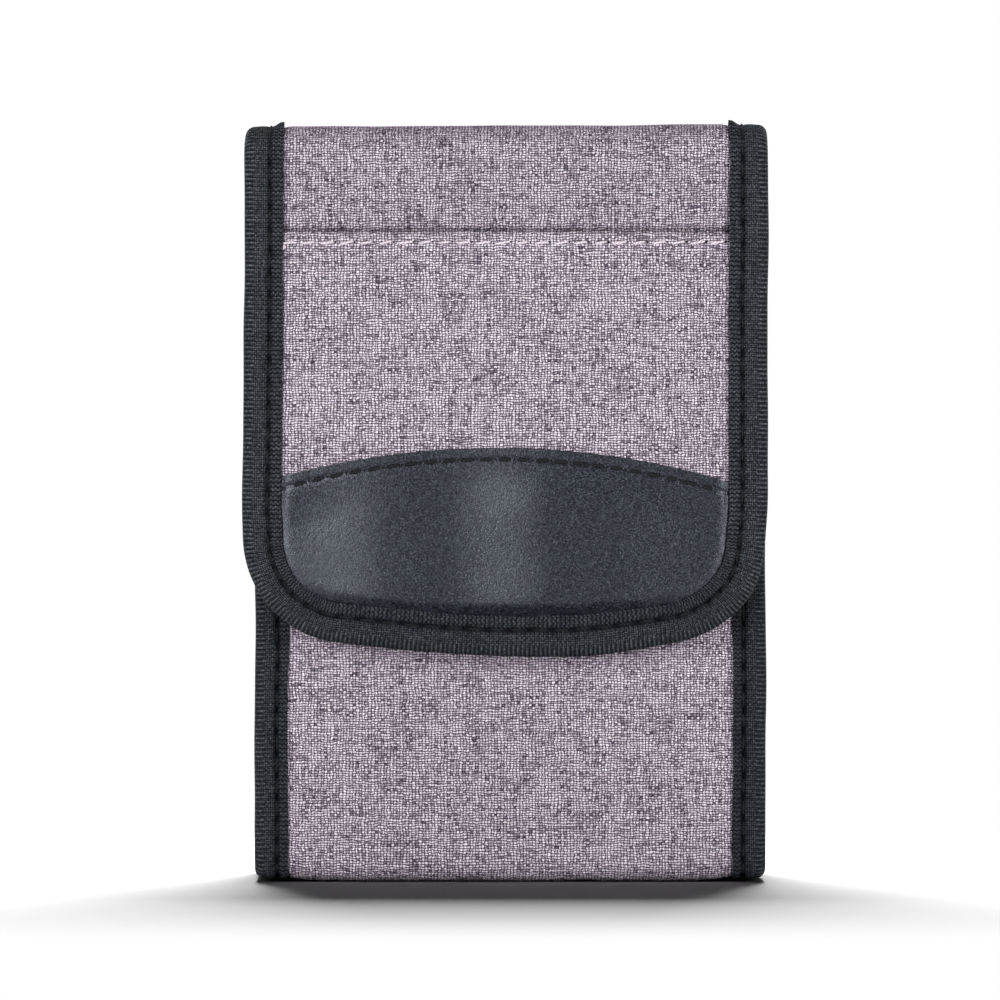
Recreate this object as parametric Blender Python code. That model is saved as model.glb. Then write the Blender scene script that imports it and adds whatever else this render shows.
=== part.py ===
"""Compact camera pouch: a padded canvas case with bound edges and a flap that folds over its front.

The frame is in metres, +Z up. The front faces -Y and the origin is the centre of the flat base.

The pouch is made as the real one is sewn. One long strip runs down the front, under the base,
up the back, over the top and down the flap. Its side profile is a line in the Y-Z plane, and
each layer of the strip is cut flat to a pattern and then wrapped round that line. A place on a
pattern is (across, along, level): across is X, along is the distance along the profile from the
mouth, and level is the height above the outer face of the canvas, so inner layers are negative.
"""

import math
from typing import NamedTuple

import bmesh
import bpy
from mathutils import Vector

# Overall sizes
HEIGHT = 0.1247
BODY_WIDTH = 0.0846
BODY_DEPTH = 0.0460
FLAP_OVERHANG = 0.0007
FLAP_DROP = 0.0867
FLAP_CORNER_R = 0.0170
FLAP_END_BOW = 0.0016
BASE_BEND_R = 0.0060
TOP_BEND_R = 0.0060
MOUTH_GAP = 0.0007
MOUTH_CORNER_R = 0.0030
GUSSET_DIP = 0.0020
GUSSET_INSET = 0.0045

# Thickness of each layer, and the air left between two that touch
CANVAS = 0.0008
BODY_FOAM = 0.0030
FLAP_FOAM = 0.0020
LINING = 0.0006
TAPE = 0.0007
LEATHER = 0.0008
WEBBING = 0.0015
LOOP_PILE = 0.0010
HOOK_PILE = 0.0010
CLEARANCE = 0.0003

# Edge binding: its visible width, how far it lies under the crown of the canvas, its fold
FLAP_BINDING = 0.0064
BODY_BINDING = 0.0055
BINDING_SINK = 0.0001
FOLD_R = 0.0012
EDGE_RAMP = 0.0025

# Pieces sewn on
SEAM_DROP = 0.0171
PATCH_HEIGHT = 0.0337
PATCH_RISE = 0.0047
FASTENER_WIDTH = 0.0500
FASTENER_HEIGHT = 0.0200
FASTENER_CORNER_R = 0.0020
FASTENER_LIFT = 0.0190
FASTENER_MARGIN = 0.0010
BELT_LOOP_WIDTH = 0.0400
BELT_LOOP_LENGTH = 0.0760
BELT_LOOP_FOOT = 0.0240
BELT_LOOP_SEAT = 0.0080
BELT_LOOP_EASE = 0.0080
BELT_GAP = 0.0060

# Facets
BEND_STEPS = 6
CORNER_STEPS = 8
SMALL_CORNER_STEPS = 4
END_STEPS = 6
FOLD_STEPS = 2
PATCH_STEPS = 16
EASE_STEPS = 6
SHARP_ANGLE = math.radians(35)

# How the canvas climbs from the bound edge to the padded middle: shares of the ramp's width and height
RAMP_SHARES = ((0.0, 0.0), (0.4, 0.65), (1.0, 1.0))

# Sizes that follow from those above
FLAP_WIDTH = BODY_WIDTH + 2 * FLAP_OVERHANG
EDGE_DROP = BINDING_SINK + TAPE + CLEARANCE
FLAP_THICKNESS = CANVAS + FLAP_FOAM + LINING + 2 * CLEARANCE
BODY_THICKNESS = CANVAS + BODY_FOAM + LINING + 2 * CLEARANCE
FLAP_SEAM_LOW = -(EDGE_DROP + CANVAS + LINING + TAPE + 2 * CLEARANCE)
BODY_SEAM_LOW = FLAP_SEAM_LOW - CANVAS - CLEARANCE
MOUTH_Z = HEIGHT - FLAP_THICKNESS - MOUTH_GAP
FASTENER_STACK = LOOP_PILE + HOOK_PILE + 3 * CLEARANCE
TOP_DEPTH = BODY_DEPTH + FASTENER_STACK + FLAP_THICKNESS
FRONT_Y = -BODY_DEPTH / 2
BACK_Y = BODY_DEPTH / 2
GUSSET_TOP_Z = MOUTH_Z - GUSSET_DIP
GUSSET_X = BODY_WIDTH / 2 - GUSSET_INSET


class Stretch(NamedTuple):
    """One straight run or one quarter bend of the profile."""

    start: float
    end: float
    y: float
    z: float
    heading: float
    radius: float


class Profile:
    """The outer line of the canvas seen from the side, walked with the pouch on its left."""

    def __init__(self, y, z):
        self.y, self.z = y, z
        self.heading = -math.pi / 2
        self.length = 0.0
        self.stretches = []

    def run(self, length):
        """Add a straight run and return the distance along at its end."""
        self._add(length, 0.0)
        self.y += math.cos(self.heading) * length
        self.z += math.sin(self.heading) * length
        return self.length

    def bend(self, radius):
        """Add a quarter bend to the left and return the distance along at its end."""
        self._add(radius * math.pi / 2, radius)
        end = self.place(0.0, self.length, 0.0)
        self.y, self.z = end.y, end.z
        self.heading += math.pi / 2
        return self.length

    def _add(self, length, radius):
        end = self.length + length
        self.stretches.append(Stretch(self.length, end, self.y, self.z, self.heading, radius))
        self.length = end

    def place(self, across, along, level):
        """The point in space of a place on the pattern."""
        part = next((s for s in self.stretches if along <= s.end), self.stretches[-1])
        walked = along - part.start
        outwards = part.heading - math.pi / 2
        y, z = part.y, part.z
        if part.radius:
            y -= math.cos(outwards) * part.radius
            z -= math.sin(outwards) * part.radius
            outwards += walked / part.radius
            level += part.radius
        else:
            y += math.cos(part.heading) * walked
            z += math.sin(part.heading) * walked
        return Vector((across, y + math.cos(outwards) * level, z + math.sin(outwards) * level))


# The profile, and the distance along it of each place where the strip changes
PROFILE = Profile(FRONT_Y, MOUTH_Z)
FRONT_FOOT = PROFILE.run(MOUTH_Z - BASE_BEND_R)
BASE_FRONT = PROFILE.bend(BASE_BEND_R)
BASE_BACK = PROFILE.run(BODY_DEPTH - 2 * BASE_BEND_R)
BACK_FOOT = PROFILE.bend(BASE_BEND_R)
BACK_HEAD = PROFILE.run(HEIGHT - BASE_BEND_R - TOP_BEND_R)
TOP_BACK = PROFILE.bend(TOP_BEND_R)
TOP_FRONT = PROFILE.run(TOP_DEPTH - 2 * TOP_BEND_R)
FLAP_HEAD = PROFILE.bend(TOP_BEND_R)
FLAP_END = PROFILE.run(FLAP_DROP - TOP_BEND_R)
ROOT = (BACK_HEAD + TOP_BACK) / 2
CREASE = (TOP_FRONT + FLAP_HEAD) / 2
SEAM = FLAP_END - FLAP_DROP + SEAM_DROP

# The fold lines that the flap turns on, in the outer face of the canvas in the middle of each bend
ROOT_AXIS = PROFILE.place(0.0, ROOT, 0.0)
CREASE_AXIS = PROFILE.place(0.0, CREASE, 0.0)


def linear(code):
    """Turn an sRGB hex colour into the linear values that a material takes."""
    shares = [int(code[i : i + 2], 16) / 255 for i in (0, 2, 4)]
    return [c / 12.92 if c <= 0.04045 else ((c + 0.055) / 1.055) ** 2.4 for c in shares] + [1.0]


def material(name, colour, roughness):
    """A plain non-metal finish."""
    finish = bpy.data.materials.new(name)
    finish.use_nodes = True
    shader = finish.node_tree.nodes["Principled BSDF"]
    shader.inputs["Base Color"].default_value = linear(colour)
    shader.inputs["Roughness"].default_value = roughness
    shader.inputs["Metallic"].default_value = 0.0
    finish.diffuse_color = linear(colour)
    return finish


def canvas_finish(name):
    """Heathered mauve-grey canvas."""
    return material(name, "a197a3", 0.85)


def lining_finish(name):
    """Charcoal nylon lining."""
    return material(name, "3b3c40", 0.6)


def foam_finish(name):
    """Pale closed-cell foam."""
    return material(name, "c9c8c4", 0.95)


def tape_finish(name):
    """Black woven binding tape."""
    return material(name, "2f3238", 0.75)


def leather_finish(name):
    """Black grained leatherette."""
    return material(name, "3f4349", 0.45)


def add_object(name, mesh, finish):
    """Make a named object of a bmesh, with its faces pointing out."""
    bmesh.ops.recalc_face_normals(mesh, faces=mesh.faces[:])
    if mesh.calc_volume(signed=True) < 0:
        bmesh.ops.reverse_faces(mesh, faces=mesh.faces[:])
    data = bpy.data.meshes.new(name)
    mesh.to_mesh(data)
    mesh.free()
    data.shade_smooth()
    data.set_sharp_from_angle(angle=SHARP_ANGLE)
    data.materials.append(finish(name))
    piece = bpy.data.objects.new(name, data)
    bpy.context.scene.collection.objects.link(piece)
    return piece


def join_rows(mesh, first, second):
    """Fill the band between two rows that have as many vertices."""
    for i in range(len(first) - 1):
        mesh.faces.new((first[i], first[i + 1], second[i + 1], second[i]))


def loft(name, rings, finish):
    """A solid through closed rings of points, capped at both ends."""
    mesh = bmesh.new()
    rows = [[mesh.verts.new(point) for point in ring] for ring in rings]
    for first, second in zip(rows, rows[1:]):
        join_rows(mesh, first + first[:1], second + second[:1])
    mesh.faces.new(rows[0])
    mesh.faces.new(rows[-1])
    return add_object(name, mesh, finish)


def prism(name, outline, low_x, high_x, finish):
    """A plate across X with an outline of (y, z) points."""
    rings = [[Vector((x, y, z)) for y, z in outline] for x in (low_x, high_x)]
    return loft(name, rings, finish)


def blend(start, end, share):
    """The value at a share of the way from start to end."""
    return start + (end - start) * share


def between(low, high, steps):
    """Evenly spaced values from low to high, both ends included."""
    return [blend(low, high, i / steps) for i in range(steps + 1)]


def cut_before(fold):
    """Where a piece ends at a fold: its end face is parallel to the fold's plane at every level."""
    return lambda level: fold - math.asin(CLEARANCE / 2 / (TOP_BEND_R + level)) * TOP_BEND_R


def cut_after(fold):
    """Where a piece starts past a fold."""
    return lambda level: fold + math.asin(CLEARANCE / 2 / (TOP_BEND_R + level)) * TOP_BEND_R


def cut_at(along):
    """A square end, the same at every level."""
    return lambda level: along


def canvas_levels(rise):
    """Upper and lower face of the canvas: rise is 0 under the binding and 1 on the padded middle."""
    upper = -EDGE_DROP * (1 - rise)
    return upper, upper - CANVAS


def lining_levels(rise, foam):
    """Upper and lower face of the lining, which joins the canvas in the bound edge."""
    in_seam = -(EDGE_DROP + CANVAS + CLEARANCE)
    in_middle = -(CANVAS + foam + 2 * CLEARANCE)
    upper = blend(in_seam, in_middle, rise)
    return upper, upper - LINING


def foam_levels(rise, foam):
    """Upper and lower face of the foam, which fills what canvas and lining leave."""
    return canvas_levels(rise)[1] - CLEARANCE, lining_levels(rise, foam)[0] + CLEARANCE


def leather_levels(rise):
    """Upper and lower face of the patch, which lies on the canvas."""
    lower = canvas_levels(rise)[0] + CLEARANCE
    return lower + LEATHER, lower


def ramp_rows(binding):
    """(inset from the outline, rise) of the rows where the canvas climbs past the binding."""
    return [(binding + CLEARANCE + EDGE_RAMP * share, rise) for share, rise in RAMP_SHARES]


def cover_rows(binding):
    """Rows of a layer that reaches into the bound edge."""
    return [(FOLD_R, 0.0)] + ramp_rows(binding)


def foam_rows(binding):
    """Rows of a layer that stops short of the bound edge."""
    return ramp_rows(binding)[1:]


class Pattern(NamedTuple):
    """A strip that is open at one end and has a rounded, bound end at the other."""

    half_width: float
    start: float
    end: float
    corner: float
    bow: float
    steps: int

    def outline(self, inset, stations=()):
        """Points (across, along) of the outline moved in by inset, from the open end and back."""
        way = math.copysign(1, self.end - self.start)
        if self.bow:
            middle, lean, centre, radius, end_radius = self._bowed(way)
            radius -= inset
            end_radius -= inset
        else:
            radius = max(self.corner - inset, FOLD_R / 4)
            middle = self.half_width - inset - radius
            centre = self.end - way * (inset + radius)
            lean = end_radius = 0.0
        side = [(middle + radius, s) for s in (self.start, *stations)]
        for turn in between(0.0, math.pi / 2 - lean, self.steps):
            side.append((middle + math.cos(turn) * radius, centre + way * math.sin(turn) * radius))
        bottom = []
        if self.bow:
            for turn in between(lean, -lean, END_STEPS)[1:-1]:
                drop = way * (1 - math.cos(turn)) * end_radius
                bottom.append((math.sin(turn) * end_radius, self.end - way * inset - drop))
        left = [(-x, s) for x, s in side]
        return left + [(-x, s) for x, s in bottom] + side[::-1]

    def _bowed(self, way):
        """Corner and end arcs that run into each other without a kink."""
        middle = self.half_width - self.corner
        end_radius = (middle**2 + self.bow**2) / (2 * self.bow)
        reach = end_radius - self.corner
        lean = math.asin(middle / reach)
        centre = self.end - way * (end_radius - reach * math.cos(lean))
        return middle, lean, centre, self.corner, end_radius


BODY_PATTERN = Pattern(BODY_WIDTH / 2, ROOT, 0.0, MOUTH_CORNER_R, 0.0, SMALL_CORNER_STEPS)
FLAP_PATTERN = Pattern(FLAP_WIDTH / 2, CREASE, FLAP_END, FLAP_CORNER_R, FLAP_END_BOW, CORNER_STEPS)


def wrapped_panel(name, pattern, rows, levels, cut, bends, finish, arch=None):
    """A layer cut to the pattern, then wrapped round the profile.

    rows are (inset, rise) pairs from the edge inwards, levels gives the two faces at a rise, cut
    gives where the open end lies at a level, and bends are the places where the layer folds. With
    arch, the open end follows that curve across the panel.
    """
    mesh = bmesh.new()
    faces = ([], [])
    for inset, rise in rows:
        outline = pattern.outline(inset)
        for face, level in zip(faces, levels(rise)):
            row = [mesh.verts.new((x, s, level)) for x, s in outline]
            for end in (row[0], row[-1]):
                end.co.y = arch(end.co.x) if arch else cut(level)
            face.append(row)
    ends = []
    for face in faces:
        for first, second in zip(face, face[1:]):
            join_rows(mesh, first, second)
        inner = face[-1]
        across = []
        if arch:
            reach = inner[-1].co.x
            for x in between(reach, -reach, PATCH_STEPS)[1:-1]:
                across.append(mesh.verts.new((x, arch(x), inner[0].co.z)))
        mesh.faces.new(inner + across)
        ends.append([row[-1] for row in face] + across + [row[0] for row in face[::-1]])
    join_rows(mesh, faces[0][0], faces[1][0])
    join_rows(mesh, ends[0], ends[1])
    for along in bends:
        parts = mesh.verts[:] + mesh.edges[:] + mesh.faces[:]
        bmesh.ops.bisect_plane(mesh, geom=parts, plane_co=(0, along, 0), plane_no=(0, 1, 0))
    for vertex in mesh.verts:
        vertex.co = PROFILE.place(*vertex.co)
    return add_object(name, mesh, finish)


def open_strip(name, stations, half_width, rows, levels, cuts, finish):
    """A layer of a stretch of the strip that is open at both ends.

    half_width and rows are functions of the distance along, and cuts give the two ends by level.
    """
    rings = []
    for index, along in enumerate(stations):
        cut = cuts[0] if index == 0 else cuts[1] if index == len(stations) - 1 else cut_at(along)
        upper, lower = [], []
        for inset, rise in rows(along):
            high, low = levels(rise)
            upper.append((half_width(along) - inset, high))
            lower.append((half_width(along) - inset, low))
        upper = [(-x, level) for x, level in upper] + upper[::-1]
        lower = [(-x, level) for x, level in lower] + lower[::-1]
        rings.append([PROFILE.place(x, cut(n), n) for x, n in upper + lower[::-1]])
    return loft(name, rings, finish)


def tape_section(outer_leaf, inner_leaf, high, low):
    """A binding tape folded over an edge, as (inset from the fold, level) points."""
    outer, inner = [(outer_leaf, high)], [(outer_leaf, high - TAPE)]
    for centre, start in ((high - FOLD_R, math.pi / 2), (low + FOLD_R, math.pi)):
        for turn in between(start, start + math.pi / 2, FOLD_STEPS):
            side, up = math.cos(turn), math.sin(turn)
            outer.append((FOLD_R + side * FOLD_R, centre + up * FOLD_R))
            inner.append((FOLD_R + side * (FOLD_R - TAPE), centre + up * (FOLD_R - TAPE)))
    outer.append((inner_leaf, low))
    inner.append((inner_leaf, low + TAPE))
    return outer + inner[::-1]


def bend_places(start, end):
    """The places along a bend where the layers are folded."""
    return between(start, end, BEND_STEPS)


ROOT_BEND = bend_places(BACK_HEAD, TOP_BACK)
CREASE_BEND = bend_places(TOP_FRONT, FLAP_HEAD)
HALF_BEND = BEND_STEPS // 2
BASE_BENDS = bend_places(FRONT_FOOT, BASE_FRONT) + bend_places(BASE_BACK, BACK_FOOT)
BODY_BENDS = BASE_BENDS + ROOT_BEND[:HALF_BEND]
TOP_PLACES = ROOT_BEND[HALF_BEND:] + CREASE_BEND[: HALF_BEND + 1]
FLAP_BENDS = CREASE_BEND[HALF_BEND + 1 :]


def top_share(along):
    """How far a place is along the top panel, from the root fold to the crease."""
    return (along - ROOT) / (CREASE - ROOT)


def top_half_width(along):
    """The top panel widens from the body to the flap."""
    return blend(BODY_WIDTH, FLAP_WIDTH, top_share(along)) / 2


def top_binding(along):
    """The tape's visible width grows over the top panel as the panel widens."""
    return blend(BODY_BINDING, FLAP_BINDING, top_share(along))


def body_pieces():
    """The strip that makes the front, the base and the back."""
    cut = cut_before(ROOT)
    wrapped_panel(
        "body_canvas", BODY_PATTERN, cover_rows(BODY_BINDING), canvas_levels, cut, BODY_BENDS, canvas_finish
    )
    wrapped_panel(
        "body_lining",
        BODY_PATTERN,
        cover_rows(BODY_BINDING),
        lambda rise: lining_levels(rise, BODY_FOAM),
        cut,
        BODY_BENDS,
        lining_finish,
    )


def body_foams():
    """Three foam boards, which stop short of the bends so that the strip folds there."""

    def levels(rise):
        return foam_levels(rise, BODY_FOAM)

    front = BODY_PATTERN._replace(start=FRONT_FOOT)
    wrapped_panel(
        "front_foam", front, foam_rows(BODY_BINDING), levels, cut_at(FRONT_FOOT), (), foam_finish
    )
    for name, start, end in (
        ("base_foam", BASE_FRONT, BASE_BACK),
        ("back_foam", BACK_FOOT, BACK_HEAD),
    ):
        open_strip(
            name,
            (start, end),
            lambda along: BODY_WIDTH / 2,
            lambda along: foam_rows(BODY_BINDING),
            levels,
            (cut_at(start), cut_at(end)),
            foam_finish,
        )


def gusset_outline(level, top):
    """(y, z) points of a side wall whose edge lies at a level under the strip, up to a height."""
    front = MOUTH_Z - top
    back = BACK_FOOT + top - BASE_BEND_R
    points = [PROFILE.place(0.0, along, level) for along in (front, *BASE_BENDS, back)]
    return [(point.y, point.z) for point in points]


def gusset_canvas(name, side):
    """A side wall with its edge turned out, to be bound to the strip."""
    flange_top = BODY_SEAM_LOW + TAPE + CLEARANCE + CANVAS
    flange_low = flange_top - CANVAS
    edge_x = BODY_WIDTH / 2 - FOLD_R
    top = GUSSET_TOP_Z - FOLD_R
    upper = gusset_outline(flange_top, top)
    lower = gusset_outline(flange_low, top)
    mesh = bmesh.new()
    rows = []
    for outline, x in (
        (upper, GUSSET_X - CANVAS),
        (upper, edge_x),
        (lower, edge_x),
        (lower, GUSSET_X),
    ):
        rows.append([mesh.verts.new((side * x, y, z)) for y, z in outline])
    for first, second in zip(rows, rows[1:]):
        join_rows(mesh, first, second)
    mesh.faces.new(rows[0])
    mesh.faces.new(rows[-1])
    mesh.faces.new([row[0] for row in rows] + [row[-1] for row in rows[::-1]])
    return add_object(name, mesh, canvas_finish)


def gusset_plate(name, side, outer_x, thickness, finish):
    """A flat layer behind a side wall's canvas, clear of the strip's lining."""
    outline = gusset_outline(-(BODY_THICKNESS + CLEARANCE), GUSSET_TOP_Z - FOLD_R)
    return prism(name, outline, side * outer_x, side * (outer_x - thickness), finish)


def gusset_top_binding(name, side):
    """The tape over the top edge of a side wall."""
    thickness = BODY_THICKNESS + 2 * (TAPE + CLEARANCE)
    outer_x = GUSSET_X + TAPE + CLEARANCE
    section = tape_section(BODY_BINDING, BODY_BINDING, 0.0, -thickness)
    reach = BODY_DEPTH / 2 - BODY_THICKNESS - CLEARANCE
    rings = []
    for y in (-reach, reach):
        rings.append([Vector((side * (outer_x + n), y, GUSSET_TOP_Z - d)) for d, n in section])
    return loft(name, rings, tape_finish)


def gussets():
    """Both side walls, layer by layer."""
    foam_x = GUSSET_X - CANVAS - CLEARANCE
    lining_x = foam_x - BODY_FOAM - CLEARANCE
    for word, side in (("left", -1), ("right", 1)):
        gusset_canvas(f"{word}_gusset_canvas", side)
        gusset_plate(f"{word}_gusset_foam", side, foam_x, BODY_FOAM, foam_finish)
        gusset_plate(f"{word}_gusset_lining", side, lining_x, LINING, lining_finish)
        gusset_top_binding(f"{word}_gusset_top_binding", side)


def side_tape(name, side, stations, half_width, leaf, inner_leaf, low, cuts):
    """Binding along one long edge of the strip."""
    rings = []
    for index, along in enumerate(stations):
        cut = cuts[0] if index == 0 else cuts[1] if index == len(stations) - 1 else cut_at(along)
        section = tape_section(leaf(along), inner_leaf(along), -BINDING_SINK, low)
        rings.append([PROFILE.place(side * (half_width(along) - d), cut(n), n) for d, n in section])
    return loft(name, rings, tape_finish)


def body_bindings():
    """Tapes along both edges of the body strip, and across the mouth."""
    inner_leaf = GUSSET_INSET - 2 * CLEARANCE
    stations = [0.0, *BODY_BENDS, ROOT]
    for word, side in (("left", -1), ("right", 1)):
        side_tape(
            f"{word}_body_binding",
            side,
            stations,
            lambda along: BODY_WIDTH / 2,
            lambda along: BODY_BINDING,
            lambda along: inner_leaf,
            BODY_SEAM_LOW,
            (cut_at(0.0), cut_before(ROOT)),
        )
    section = tape_section(BODY_BINDING, BODY_BINDING, -BINDING_SINK, FLAP_SEAM_LOW)
    reach = BODY_WIDTH / 2 - BODY_BINDING - CLEARANCE
    rings = [[PROFILE.place(x, d, n) for d, n in section] for x in (-reach, reach)]
    loft("mouth_binding", rings, tape_finish)


def top_panel(pivot):
    """The panel over the mouth, between the root fold and the crease."""
    cuts = (cut_after(ROOT), cut_before(CREASE))
    layers = (
        ("top_canvas", cover_rows, canvas_levels, canvas_finish),
        ("top_foam", foam_rows, lambda rise: foam_levels(rise, FLAP_FOAM), foam_finish),
        ("top_lining", cover_rows, lambda rise: lining_levels(rise, FLAP_FOAM), lining_finish),
    )
    for name, rows, levels, finish in layers:
        piece = open_strip(
            name,
            TOP_PLACES,
            top_half_width,
            lambda along, rows=rows: rows(top_binding(along)),
            levels,
            cuts,
            finish,
        )
        hang(piece, pivot)
    for word, side in (("left", -1), ("right", 1)):
        name = f"{word}_top_binding"
        tape = side_tape(
            name, side, TOP_PLACES, top_half_width, top_binding, top_binding, FLAP_SEAM_LOW, cuts
        )
        hang(tape, pivot)


def flap_band(pivot):
    """The upper band of the flap's canvas, down to the seam."""
    band = open_strip(
        "flap_band_canvas",
        CREASE_BEND[HALF_BEND:] + [SEAM],
        lambda along: FLAP_WIDTH / 2,
        lambda along: cover_rows(FLAP_BINDING),
        canvas_levels,
        (cut_after(CREASE), cut_at(SEAM)),
        canvas_finish,
    )
    hang(band, pivot)


def flap_panels(pivot):
    """Canvas below the seam, foam and lining of the hanging part of the flap."""
    lower = FLAP_PATTERN._replace(start=SEAM + CLEARANCE)
    canvas = wrapped_panel(
        "flap_canvas",
        lower,
        cover_rows(FLAP_BINDING),
        canvas_levels,
        cut_at(lower.start),
        (),
        canvas_finish,
    )
    foam = wrapped_panel(
        "flap_foam",
        FLAP_PATTERN,
        foam_rows(FLAP_BINDING),
        lambda rise: foam_levels(rise, FLAP_FOAM),
        cut_after(CREASE),
        FLAP_BENDS,
        foam_finish,
    )
    lining = wrapped_panel(
        "flap_lining",
        FLAP_PATTERN,
        cover_rows(FLAP_BINDING),
        lambda rise: lining_levels(rise, FLAP_FOAM),
        cut_after(CREASE),
        FLAP_BENDS,
        lining_finish,
    )
    for piece in (canvas, foam, lining):
        hang(piece, pivot)


def patch_edge(across):
    """The arched top edge of the leather patch."""
    half = FLAP_WIDTH / 2 - FLAP_BINDING
    radius = (half**2 + PATCH_RISE**2) / (2 * PATCH_RISE)
    return FLAP_END - PATCH_HEIGHT + radius - math.sqrt(radius**2 - across**2)


def flap_patch(pivot):
    """The leather patch over the lower part of the flap, framed by the binding."""
    shape = FLAP_PATTERN._replace(start=patch_edge(FLAP_WIDTH / 2 - FLAP_BINDING))
    patch = wrapped_panel(
        "flap_patch",
        shape,
        ramp_rows(FLAP_BINDING),
        leather_levels,
        None,
        (),
        leather_finish,
        arch=patch_edge,
    )
    hang(patch, pivot)


def flap_binding(pivot):
    """One tape down the left edge of the flap, round its end and up the right edge."""
    section = tape_section(FLAP_BINDING, FLAP_BINDING, -BINDING_SINK, FLAP_SEAM_LOW)
    lines = [FLAP_PATTERN.outline(inset, FLAP_BENDS) for inset, level in section]
    cut = cut_after(CREASE)
    count = len(lines[0])
    rings = []
    for index in range(count):
        ring = []
        for line, (inset, level) in zip(lines, section):
            across, along = line[index]
            at_end = index in (0, count - 1)
            ring.append(PROFILE.place(across, cut(level) if at_end else along, level))
        rings.append(ring)
    hang(loft("flap_binding", rings, tape_finish), pivot)


def rounded_slab(name, width, height, front_y, back_y, middle_z, finish):
    """A flat strip of tape with rounded corners, facing the front."""
    mesh = bmesh.new()
    rows = []
    for y in (front_y, back_y):
        row = []
        for quarter in range(4):
            start = quarter * math.pi / 2
            side = math.copysign(width / 2 - FASTENER_CORNER_R, math.cos(start + math.pi / 4))
            up = math.copysign(height / 2 - FASTENER_CORNER_R, math.sin(start + math.pi / 4))
            for turn in between(start, start + math.pi / 2, SMALL_CORNER_STEPS):
                x = side + math.cos(turn) * FASTENER_CORNER_R
                z = up + math.sin(turn) * FASTENER_CORNER_R
                row.append(mesh.verts.new((x, y, middle_z + z)))
        rows.append(row)
    join_rows(mesh, rows[0] + rows[0][:1], rows[1] + rows[1][:1])
    mesh.faces.new(rows[0])
    mesh.faces.new(rows[1])
    return add_object(name, mesh, finish)


def fastener(pivot):
    """The loop tape on the body and the hook tape inside the flap, closed on each other."""
    middle_z = HEIGHT - FLAP_DROP + FASTENER_LIFT
    loop_y = FRONT_Y - CLEARANCE
    hook_y = loop_y - LOOP_PILE - CLEARANCE
    rounded_slab(
        "loop_tape", FASTENER_WIDTH, FASTENER_HEIGHT, loop_y - LOOP_PILE, loop_y, middle_z, tape_finish
    )
    hook = rounded_slab(
        "hook_tape",
        FASTENER_WIDTH - 2 * FASTENER_MARGIN,
        FASTENER_HEIGHT - 2 * FASTENER_MARGIN,
        hook_y - HOOK_PILE,
        hook_y,
        middle_z,
        tape_finish,
    )
    hang(hook, pivot)


def belt_loop():
    """A webbing loop on the back: flat where it is sewn down, and standing off in between."""
    foot = BELT_LOOP_FOOT
    head = foot + BELT_LOOP_LENGTH
    line = [(foot, 0.0)]
    for z, way in ((foot + BELT_LOOP_SEAT, 1), (head - BELT_LOOP_SEAT, -1)):
        eased = []
        for share in between(0.0, 1.0, EASE_STEPS):
            rise = (1 - math.cos(math.pi * share)) / 2
            eased.append((z + way * BELT_LOOP_EASE * share, rise * BELT_GAP))
        line += eased[::way]
    line.append((head, 0.0))
    rings = []
    for index, (z, off) in enumerate(line):
        before, after = line[max(index - 1, 0)], line[min(index + 1, len(line) - 1)]
        run, climb = after[0] - before[0], after[1] - before[1]
        length = math.hypot(run, climb)
        ring = []
        for x, depth in (
            (-BELT_LOOP_WIDTH / 2, 0.0),
            (BELT_LOOP_WIDTH / 2, 0.0),
            (BELT_LOOP_WIDTH / 2, WEBBING),
            (-BELT_LOOP_WIDTH / 2, WEBBING),
        ):
            y = BACK_Y + CLEARANCE + off + depth * run / length
            ring.append(Vector((x, y, z - depth * climb / length)))
        rings.append(ring)
    return loft("belt_loop", rings, tape_finish)


def hang(piece, pivot):
    """Put a piece on a pivot without moving it in space."""
    piece.parent = pivot
    piece.location = -Vector(pivot["axis_point"])


def add_pivot(name, point, parent=None):
    """An empty on a fold line, which carries what turns on that line."""
    pivot = bpy.data.objects.new(name, None)
    pivot["axis_point"] = point
    pivot.location = point - Vector(parent["axis_point"]) if parent else point
    pivot.parent = parent
    bpy.context.scene.collection.objects.link(pivot)
    return pivot


def build():
    """Clear the scene and make the whole pouch."""
    for old in list(bpy.data.objects):
        bpy.data.objects.remove(old, do_unlink=True)
    root = add_pivot("root_fold", ROOT_AXIS)
    crease = add_pivot("crease_fold", CREASE_AXIS, root)
    body_pieces()
    body_foams()
    gussets()
    body_bindings()
    belt_loop()
    top_panel(root)
    flap_band(crease)
    flap_panels(crease)
    flap_patch(crease)
    flap_binding(crease)
    fastener(crease)


build()
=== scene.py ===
"""Looks of a compact camera pouch: heathered canvas, bound edges, a leatherette patch and its stitching.

All lengths are metres in the frame of the CAD model: +Z up, the front faces -Y, and the origin is the
centre of the base. Cloth is made as the pouch is sewn. Each sheet starts as a flat grid on the
pattern, whose axes are (across, along, level), and is then wrapped round the side line of the pouch.
Across is X, along is the distance from the mouth down the front, under the base, up the back, over
the top and down the flap, and level is the height above the outer face of the canvas.
"""

from __future__ import annotations

import logging
import math
from collections.abc import Callable, Sequence
from dataclasses import dataclass, field
from enum import Enum
from functools import partial

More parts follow.
